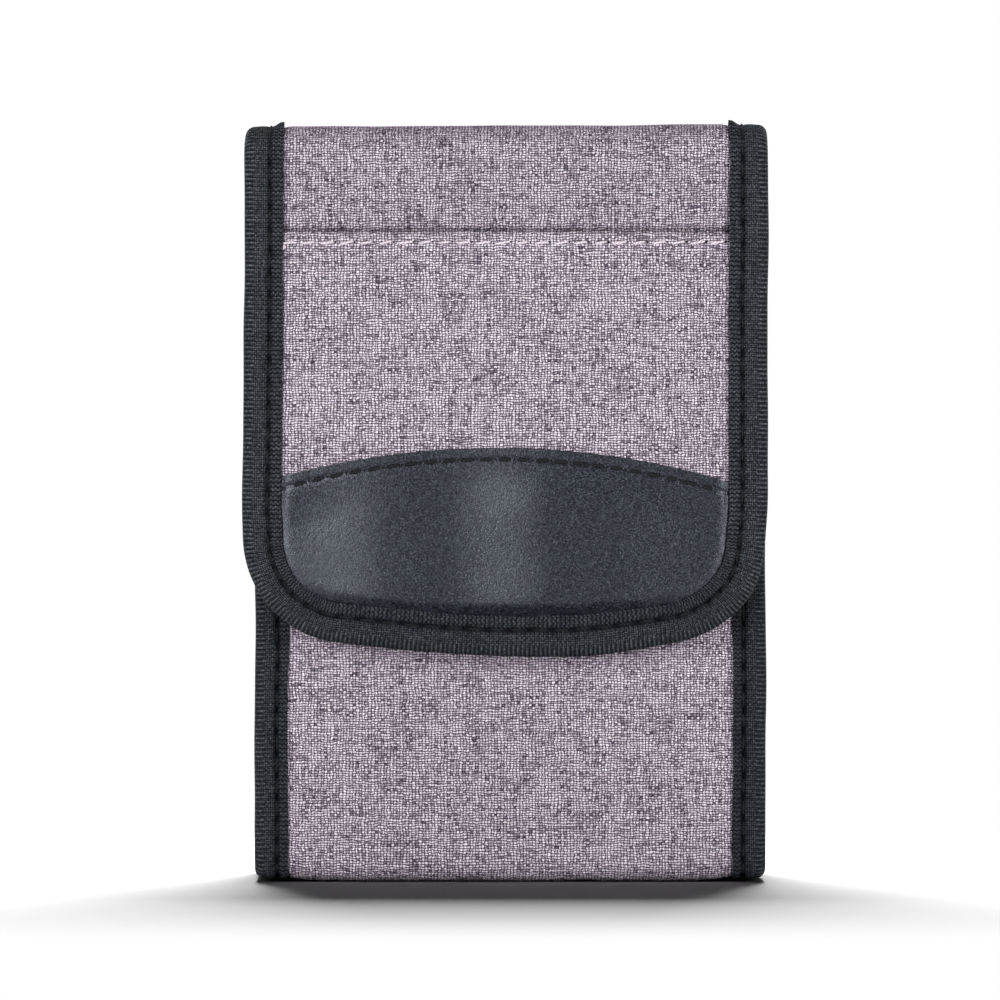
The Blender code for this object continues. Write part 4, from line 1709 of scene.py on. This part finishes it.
@dataclass
class Making:
    """What every sub-assembly needs: the strip, the finishes and the two folds."""

    strip: StripCloth
    wardrobe: Wardrobe
    root: FoldLine
    crease: FoldLine

    def dress(
        self, piece: Piece, finish: Material, slot: str, carrier: Carrier, nodes: Sequence[str] = ()
    ) -> None:
        """Give a piece its finish and hand it to its carrier, which attaches it to a body or bakes it in
        place.

        Args:
            piece: the finished mesh.
            finish: its material.
            slot: not used.
            carrier: the body, or the fold between two bodies.
            nodes: CAD nodes that the piece replaces.
        """
        piece.data.materials.append(finish)
        carrier.carry(piece)
        if nodes:
            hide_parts(*nodes)
        log.info("%s: %d faces", piece.name, len(piece.data.polygons))

    def bind(self, tape: TapeRun, stitches: str, carrier: Carrier, nodes: Sequence[str]) -> None:
        """Lay a binding tape and sew it down: one row on each leaf, in its groove.

        Args:
            tape: the tape.
            stitches: the name of its stitches.
            carrier: what carries both.
            nodes: CAD nodes that the tape replaces.
        """
        self.dress(tape.build(), self.wardrobe.tape, "binding", carrier, nodes)
        start = 3.8 * MM if tape.closed else 0.4 * MM
        flat, heading, distance = row_along(tape.edge, tape.groove, tape.pitch, start)
        along = tape.edge.at(distance)[0][:, 1]
        depth = tape.groove_depth * (1 + 0.35 * np.cos(2 * math.pi * distance / tape.pitch))
        depth = depth * tape.slack(along)
        raised = 0.5 * depth * (tape.inner_leaf(along) >= tape.groove)
        levels = tape.top - depth, tape.top - tape.stack(along) + raised
        for inside, (name, seed) in enumerate(((stitches, 0), (f"{stitches}_inside", 5))):
            row = StitchRow(name, 2.7 * MM, seed=tape.seed + seed)
            centres = np.column_stack([flat, levels[inside]])
            piece = row.build(centres, heading, tape.place, bool(inside))
            self.dress(piece, self.wardrobe.dark_thread, "binding", carrier)


@dataclass
class Walls:
    """The long strip below the flap: canvas outside and lining inside, front, base and back."""

    making: Making
    mouth: float = 1.0 * MM

    def build(self) -> None:
        """Make the canvas and the lining."""
        make, strip = self.making, self.making.strip
        line, wardrobe = strip.line, make.wardrobe
        front = (self.mouth, line.mid_base, Body.POUCH)
        back = (line.mid_base, line.mid_top, make.root)
        for name, (start, end, carrier), nodes in (
            ("front_canvas", front, ("body_canvas", "front_foam", "base_foam")),
            ("back_canvas", back, ("back_foam", "top_canvas", "top_foam")),
        ):
            piece = cut_sheet(strip, SheetCut(name, start, end, strip.canvas_top, strip.canvas))
            make.dress(piece, wardrobe.canvas, "canvas", carrier, nodes)
        for name, (start, end, carrier), nodes in (
            ("front_lining", front, ("body_lining",)),
            ("back_lining", back, ("top_lining",)),
        ):
            cut = SheetCut(name, start, end, strip.lining_top, strip.lining, columns=42, row=2.0 * MM)
            make.dress(cut_sheet(strip, cut), wardrobe.lining, "lining", carrier, nodes)


@dataclass
class SideWalls:
    """The two padded side walls, set back between the bound edges."""

    making: Making
    swell: float = 0.7 * MM
    foam: float = 3.0 * MM
    canvas: float = 0.7 * MM
    lining: float = 0.45 * MM
    held: float = 1.6 * MM
    held_top: float = 5.0 * MM
    turned: float = 1.6 * MM
    rim: float = 3.5 * MM
    low: float = 3.5 * MM
    corner: float = 2.5 * MM
    leaf: float = 5.5 * MM
    groove: float = 4.1 * MM

    def __post_init__(self) -> None:
        """Press the canvas of a side wall once, for both sides."""
        self.sizes = sizes = self.making.strip.sizes
        self.half = (sizes.back_y - sizes.front_y) / 2 - self.rim
        self.high = sizes.gusset_top - 1.2 * MM
        tall = self.high - self.low
        press = ClothPress(width=2 * self.half, length=tall, cell=2.0 * MM)
        self.pressed = press.run(
            lambda across, along: (np.abs(across) > self.half - self.held)
            | (along < self.held)
            | (along > tall - self.held_top)
        )

    def build(self) -> None:
        """Make canvas, lining and top tape of both sides."""
        for side in Side:
            self.outside(side)
            self.inside(side)
            self.top_tape(side)

    def panel(self, name: str, half: float, low: float, cell: float) -> tuple[Piece, tuple[Array, ...]]:
        """Lay out a flat panel with rounded lower corners.

        Args:
            name: the piece's name.
            half: half its depth.
            low: the height of its foot.
            cell: the size of its faces.

        Returns:
            The piece, and for each vertex its depth, its height above the foot, how far the foam has
            pushed it out, and how far the top tape's stitches pull it in.
        """
        tall, corner = self.high - low, self.corner
        piece, u, v = add_grid(name, round(2 * half / cell), round(tall / cell))
        depth, height = (2 * u - 1) * half, v * tall
        beyond_x, beyond_z = np.abs(depth) - (half - corner), corner - height
        reach = np.hypot(beyond_x, beyond_z)
        cut = (beyond_x > 0) & (beyond_z > 0) & (reach > corner)
        pull = np.where(cut, corner / np.maximum(reach, 1e-9), 1.0)
        depth = np.where(pull < 1, np.sign(depth) * (half - corner + beyond_x * pull), depth)
        height = np.where(pull < 1, corner - beyond_z * pull, height)
        rise = np.tanh(self.pressed.sample(depth / (2 * self.half) + 0.5, height) / (1.6 * MM))
        sewn = dip(height + low - self.sizes.gusset_top + self.groove, 0.9 * MM)
        return piece, (depth, height, rise, sewn)

    def outside(self, side: Side) -> None:
        """Make the canvas, whose rim is turned out into the bound seam.

        Args:
            side: left or right.
        """
        name = f"{side.word}_gusset_sheet"
        piece, (depth, height, rise, sewn) = self.panel(name, self.half, self.low, 1.2 * MM)
        rise = rise * (1 + 0.12 * mottle(depth, height, 14 * MM, 31 + side.value))
        x = self.sizes.body_half - self.sizes.gusset_inset - 0.45 * MM + self.swell * rise - 1.1 * MM * sewn
        width, length = self.lay(piece, x, depth, height, self.low)
        self.turn_out_rim(piece)
        shape_with(piece, "SOLIDIFY", thickness=self.canvas, offset=1.0)
        self.mirror(piece, side)
        nodes = (f"{side.word}_gusset_canvas", f"{side.word}_gusset_foam")
        self.making.dress(piece, self.making.wardrobe.canvas, "canvas", Body.POUCH, nodes)

    def lay(self, piece: Piece, x: Array, depth: Array, height: Array, floor: float) -> tuple[float, float]:
        """Put a flat panel in its place and give it its map.

        Args:
            piece: the panel.
            x: how far each vertex is from the middle of the pouch.
            depth: its place from front to back.
            height: its height above the panel's foot.
            floor: the height of that foot.

        Returns:
            The flat size.
        """
        write_points(piece, np.stack([x, depth, height + floor], axis=1))
        write_map(piece, np.stack([depth, height], axis=1))
        return sheet_facts(piece)[0]

    def turn_out_rim(self, piece: Piece) -> None:
        """Extrude the rim outwards, into the seam, except where the top tape covers it.

        Args:
            piece: the canvas of the right side wall.
        """
        activate(piece)
        bpy.ops.object.mode_set(mode="EDIT")
        bpy.ops.mesh.select_mode(type="EDGE")
        bpy.ops.mesh.select_all(action="DESELECT")
        bpy.ops.mesh.select_non_manifold()
        bpy.ops.object.mode_set(mode="OBJECT")
        top = read_points(piece)[:, 2].max() - 3.0 * MM
        for edge in piece.data.edges:
            if edge.select and min(piece.data.vertices[i].co.z for i in edge.vertices) > top:
                edge.select = False
        bpy.ops.object.mode_set(mode="EDIT")
        for _ in range(2):
            bpy.ops.mesh.extrude_region_move(TRANSFORM_OT_translate={"value": (self.turned, 0.0, 0.0)})
        bpy.ops.object.mode_set(mode="OBJECT")

    def mirror(self, piece: Piece, side: Side) -> None:
        """Put a piece that was made for the right on its side, with its faces outwards."""
        write_points(piece, read_points(piece) * np.array([side.value, 1, 1]))
        close_up(piece)

    def inside(self, side: Side) -> None:
        """Make the lining of a side wall.

        Args:
            side: left or right.
        """
        sizes = self.sizes
        reach = (sizes.back_y - sizes.front_y) / 2 - sizes.body_thick - 0.05 * MM
        floor = sizes.body_thick + 0.05 * MM
        name = f"{side.word}_gusset_lining_sheet"
        piece, (depth, height, rise, sewn) = self.panel(name, reach, floor, 2.0 * MM)
        x = sizes.body_half - sizes.gusset_inset - 0.8 * MM - self.foam - 0.9 * MM - 0.3 * MM * rise
        flat = self.lay(piece, x + 0.5 * MM * sewn, depth, height, floor)
        shape_with(piece, "SOLIDIFY", thickness=self.lining, offset=0.0)
        self.mirror(piece, side)
        nodes = (f"{side.word}_gusset_lining",)
        self.making.dress(piece, self.making.wardrobe.lining, "lining", Body.POUCH, nodes)

    def top_tape(self, side: Side) -> None:
        """Bind the top edge of a side wall.

        Args:
            side: left or right.
        """
        node = f"{side.word}_gusset_top_binding"
        low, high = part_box(node)
        inner_x, outer_x = sorted((abs(low.x), abs(high.x)))

        def place(pattern: Array) -> Array:
            """Stand the pattern upright on the side wall."""
            across, along, level = pattern.T
            return np.stack([side.value * (outer_x + level), across, high.z - along], axis=1)

        tape = TapeRun(
            name=f"{side.word}_gusset_top_tape",
            edge=EdgeLine.through([(low.y, 0.0), (high.y, 0.0)], [(0.0, -1.0)] * 2),
            leaf=always(self.leaf),
            inner_leaf=always(self.leaf),
            stack=always(outer_x - inner_x),
            place=place,
            seed=71 + side.value,
            fold=2.2 * MM,
            top=0.0,
            groove=self.groove,
        )
        self.making.bind(tape, f"{side.word}_gusset_top_stitches", Body.POUCH, (node,))


@dataclass
class Bindings:
    """The tapes on both long edges of the body strip, over the top, and across the mouth."""

    making: Making
    inner_leaf: float = 3.9 * MM
    edge: float = 3.9 * MM
    groove: float = 3.7 * MM
    mouth_groove: float = 3.9 * MM
    overlap: float = 2.1 * MM

    def build(self) -> None:
        """Make the tapes and their stitches."""
        line, sizes, root = self.making.strip.line, self.making.strip.sizes, self.making.root
        for side in Side:
            self.run(side, "front", -self.overlap, line.mid_base, Body.POUCH, "body_binding")
            self.run(side, "back", line.mid_base, line.mid_top, root, "top_binding")
        reach = sizes.body_half - sizes.body_tape - 0.1 * MM
        tape = TapeRun(
            name="mouth_tape",
            edge=EdgeLine.through([(-reach, 0.0), (reach, 0.0)], [(0.0, -1.0)] * 2),
            leaf=always(sizes.body_tape),
            inner_leaf=always(sizes.body_tape),
            stack=always(self.edge),
            place=line.place,
            seed=61,
            groove=self.mouth_groove,
        )
        self.making.bind(tape, "mouth_stitches", Body.POUCH, ("mouth_binding",))

    def run(self, side: Side, part: str, start: float, end: float, carrier: Carrier, node: str) -> None:
        """Bind one stretch of a long edge.

        Args:
            side: left or right.
            part: front or back; the front one's first end is turned in.
            start: where it starts along the strip.
            end: where it ends.
            carrier: what carries it.
            node: the CAD node that it stands for, without the side.
        """
        strip, name = self.making.strip, f"{side.word}_{part}_tape"
        line, pattern = strip.line, strip.pattern

        def inner(along: Array) -> Array:
            """The inner leaf is narrow where the side wall meets it."""
            share = smooth((along - line.back_head + 4 * MM) / (line.top_back - line.back_head))
            return self.inner_leaf + (pattern.tape(along) - self.inner_leaf) * share

        tape = TapeRun(
            name=name,
            edge=pattern.side_edge(side, start, end),
            leaf=pattern.tape,
            inner_leaf=inner,
            stack=lambda along: pattern.thickness(along) - 0.2 * MM,
            place=line.place,
            seed=40 + 3 * side.value + len(name),
            groove=self.groove,
            # Painted shade: the body tapes are darker, the right one more
            soil=lambda across, along: 0.24 + 0.06 * np.sign(across),
            # The free edge stands proud where the tape goes round the root bend
            lift=lambda along: 0.5 * MM * dip(along - line.root, 2.5 * MM),
            slack=strip.slack,
            closed=part == "front",
        )
        self.making.bind(tape, f"{side.word}_{part}_stitches", carrier, (f"{side.word}_{node}",))


@dataclass
class Flap:
    """The flap: two canvas panels with a seam, lining, a leatherette patch and one long tape."""

    making: Making
    tuck: float = 1.5 * MM
    proud: float = 1.05 * MM
    patch_tuck: float = 1.0 * MM
    patch_bevel: float = 0.16 * MM
    patch_pitch: float = 3.1 * MM
    top_pitch: float = 3.2 * MM

    def build(self) -> None:
        """Make every sheet of the flap, and its stitches."""
        self.panels()
        self.patch()
        self.patch_stitches()
        self.tape()
        self.topstitch()

    def panels(self) -> None:
        """Cut the canvas above and below the seam, and the lining."""
        make, strip = self.making, self.making.strip
        line, wardrobe = strip.line, make.wardrobe
        canvas, lining = (strip.canvas_top, strip.canvas), (strip.lining_top, strip.lining)
        fine, trim = 4 * MM, {"trim": self.tuck}
        band = SheetCut("band_canvas", line.mid_top, line.seam, *canvas, close_end=fine)
        panel = SheetCut("flap_panel", line.seam, line.flap_end, *canvas, close_start=fine, **trim)
        coarse = {"columns": 60, "row": 1.4 * MM, **trim}
        inner = SheetCut("flap_lining_sheet", line.mid_top, line.flap_end, *lining, **coarse)
        for cut, finish, slot, carrier, nodes in (
            (band, wardrobe.canvas, "canvas", make.crease, ("flap_band_canvas",)),
            (panel, wardrobe.canvas, "canvas", Body.FLAP_FRONT, ("flap_canvas", "flap_foam")),
            (inner, wardrobe.lining, "lining", make.crease, ("flap_lining",)),
        ):
            make.dress(cut_sheet(strip, cut), finish, slot, carrier, nodes)

    def patch(self) -> None:
        """Cut the leatherette patch with its arched top edge."""
        make, strip = self.making, self.making.strip
        tuck = strip.sizes.flap_tape - self.patch_tuck
        piece, u, v = add_grid("leather_patch", 92, 48)
        across = (2 * u - 1) * (strip.sizes.flap_half - tuck)
        top = strip.patch_edge(across)
        along = top + (strip.line.flap_end - tuck + 0.5 * MM - top) * (0.45 * v + 0.55 * v**2)
        write_points(piece, np.stack([across, along, np.zeros_like(along)], axis=1))
        across, along = trim_to_outline(piece, strip.pattern, tuck)
        write_map(piece, np.stack([across, along], axis=1))
        flat, area = sheet_facts(piece)
        write_points(piece, np.stack([across, along, strip.patch_top(across, along)], axis=1))
        thicken(piece, strip.leather, strip.line.place, 60.0, self.patch_bevel)
        make.dress(piece, make.wardrobe.leather, "patch", Body.FLAP_FRONT, ("flap_patch",))

    def patch_stitches(self) -> None:
        """Sew dark stitches that follow the arch, sunk into the leatherette."""
        strip, pitch, radius = self.making.strip, self.patch_pitch, self.making.strip.patch_radius
        reach = math.asin((strip.sizes.flap_half - strip.sizes.flap_tape) / radius)
        turn = np.arange(-reach + 0.4 * pitch / radius, reach, pitch / radius)
        middle, below = strip.patch_middle, strip.patch_groove
        across = middle + np.sin(turn) * (radius - below)
        along = strip.patch_edge(middle + np.sin(turn) * radius) + np.cos(turn) * below
        heading = np.stack([np.cos(turn), np.sin(turn)], axis=1)
        centres = np.stack([across, along, strip.patch_top(across, along)], axis=1)
        row = StitchRow("patch_stitches", 2.45 * MM, 0.66 * MM, slant=-0.10, stray=0.05, seed=91)
        self.sew(row, centres, heading, self.making.wardrobe.dark_thread, "binding")
        # Painted shade: near-black blobs in the needle holes between the stitches
        spots = centres[:-1] + np.diff(centres, axis=0) / 2 - np.array([0.0, 0.0, 0.12 * MM])
        hole_shade = StitchRow("patch_needle_holes", 0.5 * MM, 0.45 * MM, seed=92)
        self.sew(hole_shade, spots, heading[:-1], self.making.wardrobe.shade, "binding")

    def sew(self, row: StitchRow, centres: Array, headings: Array, thread: Material, slot: str) -> None:
        """Sew a row on the hanging part of the flap."""
        piece = row.build(centres, headings, self.making.strip.line.place)
        self.making.dress(piece, thread, slot, Body.FLAP_FRONT)

    def tape(self) -> None:
        """Bind the flap from the middle of the top, round its end and back."""
        make, strip = self.making, self.making.strip
        line, pattern = strip.line, strip.pattern
        tape = TapeRun(
            name="flap_tape",
            edge=pattern.flap_edge(),
            leaf=pattern.tape,
            inner_leaf=pattern.tape,
            stack=lambda along: pattern.thickness(along) - 0.3 * MM,
            place=line.place,
            seed=17,
            # Painted shade: the tape darkens towards the flap's lower end
            soil=lambda across, along: 0.16 * smooth((along - line.flap_end + 16 * MM) / (12 * MM)),
            # The free edge stands proud where the tape turns the crease
            lift=lambda along: self.proud * dip(along - line.top_front - 1.2 * MM, 2.2 * MM),
            slack=strip.slack,
        )
        make.bind(tape, "flap_tape_stitches", make.crease, ("flap_binding",))

    def topstitch(self) -> None:
        """Sew the pale row just below the seam, a little slanted as a lockstitch lies, and its knot."""
        strip, wardrobe, pitch = self.making.strip, self.making.wardrobe, self.top_pitch
        half = strip.sizes.flap_half - strip.sizes.flap_tape - 0.2 * MM
        across = np.arange(-half + 0.2 * pitch, half, pitch)
        along = strip.line.seam + strip.top_groove + 0.05 * MM * wander(across, 40 * MM, 3)
        heading = np.stack([np.ones_like(across), np.zeros_like(across)], axis=1)
        centres = np.stack([across, along, strip.canvas_top(across, along) + 0.05 * MM], axis=1)
        row = StitchRow("flap_topstitch", 2.35 * MM, slant=-0.15, stray=0.045, seed=23)
        self.sew(row, centres, heading, wardrobe.pale_thread, "canvas")
        turns = np.radians([20.0, 80.0, 140.0])
        heading_3 = np.stack([np.cos(turns), np.sin(turns)], axis=1)
        shift = np.array([[-0.9, 0.5, 0.0], [-1.25, 0.6, 0.10], [-0.8, 0.95, 0.05]]) * MM
        row = StitchRow("topstitch_knot", 1.05 * MM, 0.36 * MM, stray=0.1, seed=4)
        self.sew(row, centres[0] + shift, heading_3, wardrobe.pale_thread, "canvas")
        # Painted shade: near-black blobs in the needle holes beside the stitches
        spots = centres + np.array([1.35 * MM, -0.10 * MM, -0.20 * MM])
        hole_shade = StitchRow("needle_holes", 0.42 * MM, 0.38 * MM, stray=0.1, seed=24)
        self.sew(hole_shade, spots, heading, wardrobe.shade, "canvas")


@dataclass
class Closure:
    """Hook tape inside the flap and loop tape on the front, each sewn down round its edge."""

    making: Making
    corner: float = 2.0 * MM
    voxel: float = 0.45 * MM
    margin: float = 1.6 * MM
    pitch: float = 2.8 * MM

    def build(self) -> None:
        """Make both tapes."""
        wardrobe = self.making.wardrobe
        self.tape("loop_patch", "loop_tape", wardrobe.loops, Body.POUCH, -1.0, 0.25 * MM)
        self.tape("hook_patch", "hook_tape", wardrobe.hooks, Body.FLAP_FRONT, 1.0, 0.15 * MM)

    def tape(self, name: str, node: str, finish: Material, body: Body, way: float, pile: float) -> None:
        """Make one half of the closure: a stiff ground tape with pile on its outer side.

        Args:
            name: the piece's name.
            node: the CAD node that it stands for.
            finish: its material.
            body: what carries it.
            way: -1 if the pile is on the front side, 1 if it is on the back.
            pile: how uneven the pile is.
        """
        low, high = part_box(node)
        bpy.ops.mesh.primitive_cube_add(size=1.0)
        piece = bpy.context.object
        piece.name = piece.data.name = name
        centre, size = (low + high) / 2, high - low
        write_points(piece, read_points(piece) * np.array(size) + np.array(centre))
        depth = read_points(piece)[:, 1]
        ends = [depth[list(edge.vertices)] for edge in piece.data.edges]
        choose(piece, "EDGE", np.array([abs(a - b) > size.y / 2 for a, b in ends]))
        bpy.ops.mesh.bevel(offset=self.corner, segments=5)
        bpy.ops.object.mode_set(mode="OBJECT")
        shape_with(piece, "REMESH", mode="VOXEL", voxel_size=self.voxel)
        points = read_points(piece)
        outer, back = (low.y, high.y) if way < 0 else (high.y, low.y)
        share = smooth(1 - np.abs(points[:, 1] - outer) / (0.7 * MM))
        points[:, 1] += way * share * pile * 0.5 * mottle(points[:, 0], points[:, 2], 1.6 * MM, len(name))
        at_back = np.abs(points[:, 1] - back) < 0.1 * MM
        points[:, 1] = np.where(at_back, back - way * 0.2 * MM, points[:, 1])
        write_points(piece, points)
        close_up(piece, 60.0)
        self.making.dress(piece, finish, "fastener", body, (node,))
        self.sewing(name, low, high, body, way)

    def sewing(self, name: str, low: Vector, high: Vector, body: Body, way: float) -> None:
        """Sew the box of stitches near the edge of a closure tape.

        Args:
            name: the tape's name.
            low: the low corner of its box.
            high: the high corner.
            body: what carries it.
            way: -1 if the pile is on the front side, 1 if it is on the back.
        """
        left, right = low.x + self.margin, high.x - self.margin
        bottom, top = low.z + self.margin, high.z - self.margin
        box = [(left, bottom), (right, bottom), (right, top), (left, top), (left, bottom)]
        face = low.y if way < 0 else high.y

        def place(pattern: Array) -> Array:
            """Lay the pattern on the tape's face."""
            across, along, level = pattern.T
            return np.stack([across, face + way * level, along], axis=1)

        row = StitchRow(f"{name}_stitches", 2.2 * MM, seed=len(name))
        piece = row.build(*row_through(box, self.pitch, 0.0), place)
        self.making.dress(piece, self.making.wardrobe.dark_thread, "fastener", body)


@dataclass
class BeltLoop:
    """Webbing loop on the back, sewn down flat at its head and foot."""

    making: Making
    width: float = 40.0 * MM
    foot: float = 24.0 * MM
    head: float = 100.0 * MM
    seat: float = 8.0 * MM
    ease: float = 8.0 * MM
    gap: float = 6.0 * MM
    thick: float = 1.4 * MM
    margin: float = 3.0 * MM
    pitch: float = 2.9 * MM

    def off(self, height: Array) -> Array:
        """How far the webbing stands off the back at a height."""
        near = np.minimum(height - self.foot, self.head - height)
        return self.gap * (1 - np.cos(math.pi * np.clip((near - self.seat) / self.ease, 0, 1))) / 2

    def place(self, pattern: Array) -> Array:
        """Lay a pattern on the webbing's outer face.

        Args:
            pattern: rows of (across, height, level).

        Returns:
            Rows of (x, y, z).
        """
        across, height, level = pattern.T
        slope = (self.off(height + 0.01 * MM) - self.off(height - 0.01 * MM)) / (0.02 * MM)
        norm = np.hypot(1.0, slope)
        back = self.making.strip.sizes.back_y + self.thick + 0.15 * MM
        out, up = back + self.off(height) + level / norm, height - level * slope / norm
        return np.stack([-across, out, up], axis=1)

    def build(self) -> None:
        """Make the webbing and its box stitches."""
        piece, u, v = add_grid("belt_webbing", 40, 90)
        across, height = (u - 0.5) * self.width, self.foot + v * (self.head - self.foot)
        rows = np.linspace(self.foot, self.head, 400)
        steps = np.hypot(np.diff(rows), np.diff(self.off(rows)))
        length = np.interp(height, rows, np.concatenate([[0.0], np.cumsum(steps)]))
        selvedge = -0.25 * MM * smooth((np.abs(2 * u - 1) - 0.94) / 0.06)
        write_points(piece, np.stack([across, height, selvedge], axis=1))
        write_map(piece, np.stack([length, across], axis=1))
        write_share(piece, "rib", np.full_like(across, 0.6))
        flat, _ = sheet_facts(piece)
        thicken(piece, self.thick, self.place, 55.0, bevel=0.35 * MM)
        self.making.dress(piece, self.making.wardrobe.webbing, "webbing", Body.POUCH, ("belt_loop",))
        self.sewing()

    def sewing(self) -> None:
        """Sew a box with a middle row at each end of the webbing."""
        rows = []
        for low in (self.foot, self.head - self.seat):
            left, right = -self.width / 2 + self.margin, self.width / 2 - self.margin
            bottom, top = low + 1.6 * MM, low + self.seat - 1.4 * MM
            box = [(left, bottom), (right, bottom), (right, top), (left, top), (left, bottom)]
            middle = (bottom + top) / 2
            for line in (box, [(left + 1 * MM, middle), (right - 1 * MM, middle)]):
                rows.append(row_through(line, self.pitch, 0.02 * MM))
        centres, headings = (np.concatenate(part) for part in zip(*rows))
        row = StitchRow("belt_webbing_stitches", 2.4 * MM, 0.60 * MM, slant=0.08, seed=5)
        piece = row.build(centres, headings, self.place)
        self.making.dress(piece, self.making.wardrobe.grey_thread, "webbing", Body.POUCH)


# ---- Studio ----


@dataclass(frozen=True)
class Softbox:
    """A rectangular studio lamp that looks at the pouch."""

    name: str
    place: tuple[float, float, float]
    size: tuple[float, float]
    watts: float
    in_gloss: bool = True

    def build(self, target: Vector) -> Piece:
        """Hang the lamp and aim it.

        Args:
            target: what the lamp looks at.

        Returns:
            The finished piece.
        """
        lamp = bpy.data.lights.new(self.name, "AREA")
        lamp.shape = "RECTANGLE"
        lamp.size, lamp.size_y = self.size
        lamp.energy = self.watts
        holder = bpy.data.objects.new(self.name, lamp)
        holder.location = self.place
        holder.rotation_euler = (target - Vector(self.place)).to_track_quat("-Z", "Y").to_euler()
        holder.visible_glossy = self.in_gloss
        bpy.context.scene.collection.objects.link(holder)
        return holder


@dataclass
class Studio:
    """A pale floor, a white surround, soft lamps and the camera of the photo."""

    distance: float = 1.700
    eye: tuple[float, float] = (-0.0013, 0.0631)
    lens: float = 371.5
    surround: float = 0.12
    behind_camera: float = 0.08
    lamps: tuple[Softbox, ...] = (
        Softbox("left_softbox", (-0.62, -1.05, 0.26), (0.40, 0.8), 13.4),
        Softbox("right_softbox", (0.85, -1.00, 0.20), (0.40, 0.8), 12.0),
        Softbox("left_card", (-0.30, -1.30, 0.15), (0.14, 0.7), 1.05),
        Softbox("overhead_softbox", (0.0, -0.10, 1.10), (0.9, 0.7), 2.0, False),
        Softbox("low_softbox", (0.0, -0.80, 0.03), (0.9, 0.05), 2.2, False),
        Softbox("rear_left_softbox", (-0.75, 0.95, 0.45), (0.5, 0.7), 8.0),
        Softbox("rear_right_softbox", (0.75, 0.95, 0.45), (0.5, 0.7), 8.0),
    )
    floor_lamp: Softbox = Softbox("floor_softbox", (0.0, 0.62, 0.66), (0.34, 0.72), 44.0)

    def build(self, sizes: PouchSizes) -> None:
        """Set everything up round the pouch.

        Args:
            sizes: the main sizes.
        """
        scene = bpy.context.scene
        scene.view_settings.view_transform = "Standard"
        target = Vector((0.0, 0.0, sizes.height / 2))
        self.world()
        lit, unlit = (bpy.data.collections.new(name) for name in ("lit_floor", "unlit_floor"))
        floor = self.floor()
        for group in (lit, unlit):
            group.objects.link(floor)
        unlit.collection_objects[0].light_linking.link_state = "EXCLUDE"
        for lamp in self.lamps:
            lamp.build(target).light_linking.receiver_collection = unlit
        self.floor_lamp.build(Vector((0.0, -0.1, 0.0))).light_linking.receiver_collection = lit
        camera = bpy.data.cameras.new("camera")
        camera.lens, camera.sensor_width = self.lens, 36.0
        holder = bpy.data.objects.new("camera", camera)
        holder.location = (self.eye[0], sizes.flap_y - self.distance, self.eye[1])
        holder.rotation_euler = (math.pi / 2, 0.0, 0.0)
        scene.collection.objects.link(holder)
        scene.camera = holder

    def world(self) -> None:
        """A surround that the camera sees as white, and gloss too on the side of the backdrop."""
        world = bpy.data.worlds.new("white_surround")
        world.use_nodes = True
        tree = world.node_tree
        rays = add_node(tree, "LightPath", output="Is Camera Ray")
        glossy, clear = rays.node.outputs["Is Glossy Ray"], rays.node.outputs["Is Transmission Ray"]
        way = add_node(tree, "SeparateXYZ", {0: add_node(tree, "TexCoord", output="Generated")}, output=1)
        ends = {"From Min": -0.1, "From Max": 0.5, "To Min": self.behind_camera, "To Max": 1.0}
        room = add_node(tree, "MapRange", {"Value": way, **ends})
        strength = add_node(tree, "Mix", {0: glossy, 2: self.surround, 3: room})
        seen = add_node(tree, "Math", {0: rays, 1: clear}, operation="MAXIMUM")
        strength = add_node(tree, "Mix", {0: seen, 2: strength, 3: 1.0})
        background = tree.nodes["Background"]
        background.inputs["Color"].default_value = WHITE
        tree.links.new(strength, background.inputs["Strength"])
        bpy.context.scene.world = world

    def floor(self) -> Piece:
        """A wide pale floor that keeps the pouch's shadow, and is plain white away from it.

        Returns:
            The floor.
        """
        bpy.ops.mesh.primitive_plane_add(size=30.0, location=(0.0, 0.0, -0.15 * MM))
        floor = bpy.context.object
        floor.name = floor.data.name = "floor"
        finish = bpy.data.materials.new("White studio paper")
        finish.use_nodes = True
        tree = finish.node_tree
        shader = tree.nodes["Principled BSDF"]
        shader.inputs["Base Color"].default_value = linear("a8a8a8")
        shader.inputs["Roughness"].default_value = 0.9
        shader.inputs["Specular IOR Level"].default_value = 0.0
        place = add_node(tree, "TexCoord", output="Object")
        away = add_node(tree, "VectorMath", {0: place}, operation="LENGTH", output="Value")
        ends = {"From Min": 0.15, "From Max": 0.26}
        away = add_node(tree, "MapRange", {"Value": away, **ends}, interpolation_type="SMOOTHSTEP")
        seen = add_node(tree, "LightPath", output="Is Camera Ray")
        share = add_node(tree, "Math", {0: away, 1: seen}, operation="MULTIPLY")
        paper = add_node(tree, "Emission", {"Color": WHITE, "Strength": 1.0})
        mixed = add_node(tree, "MixShader", {0: share, 1: shader.outputs[0], 2: paper})
        tree.links.new(mixed, tree.nodes["Material Output"].inputs["Surface"])
        floor.data.materials.append(finish)
        return floor


def main() -> None:
    """Build the pouch and its studio."""
    logging.basicConfig(level=logging.INFO, format="%(name)s: %(message)s")
    sizes = PouchSizes.from_frame()
    line = SideLine(sizes)
    root = FoldLine(
        Body.POUCH,
        Body.FLAP_TOP,
        Vector((0.0, sizes.back_y, sizes.height - sizes.bend)),
        Vector((0.0, sizes.back_y - sizes.bend, sizes.height)),
    )
    crease = FoldLine(
        Body.FLAP_TOP,
        Body.FLAP_FRONT,
        Vector((0.0, sizes.flap_y + sizes.bend, sizes.height)),
        Vector((0.0, sizes.flap_y, sizes.height - sizes.bend)),
    )
    making = Making(StripCloth(Pattern(line)), Wardrobe(), root, crease)
    for part in (Walls, SideWalls, Bindings, Flap, Closure, BeltLoop):
        log.info("making %s", part.__name__)
        part(making).build()
    Studio().build(sizes)


if __name__ == "__main__":
    main()
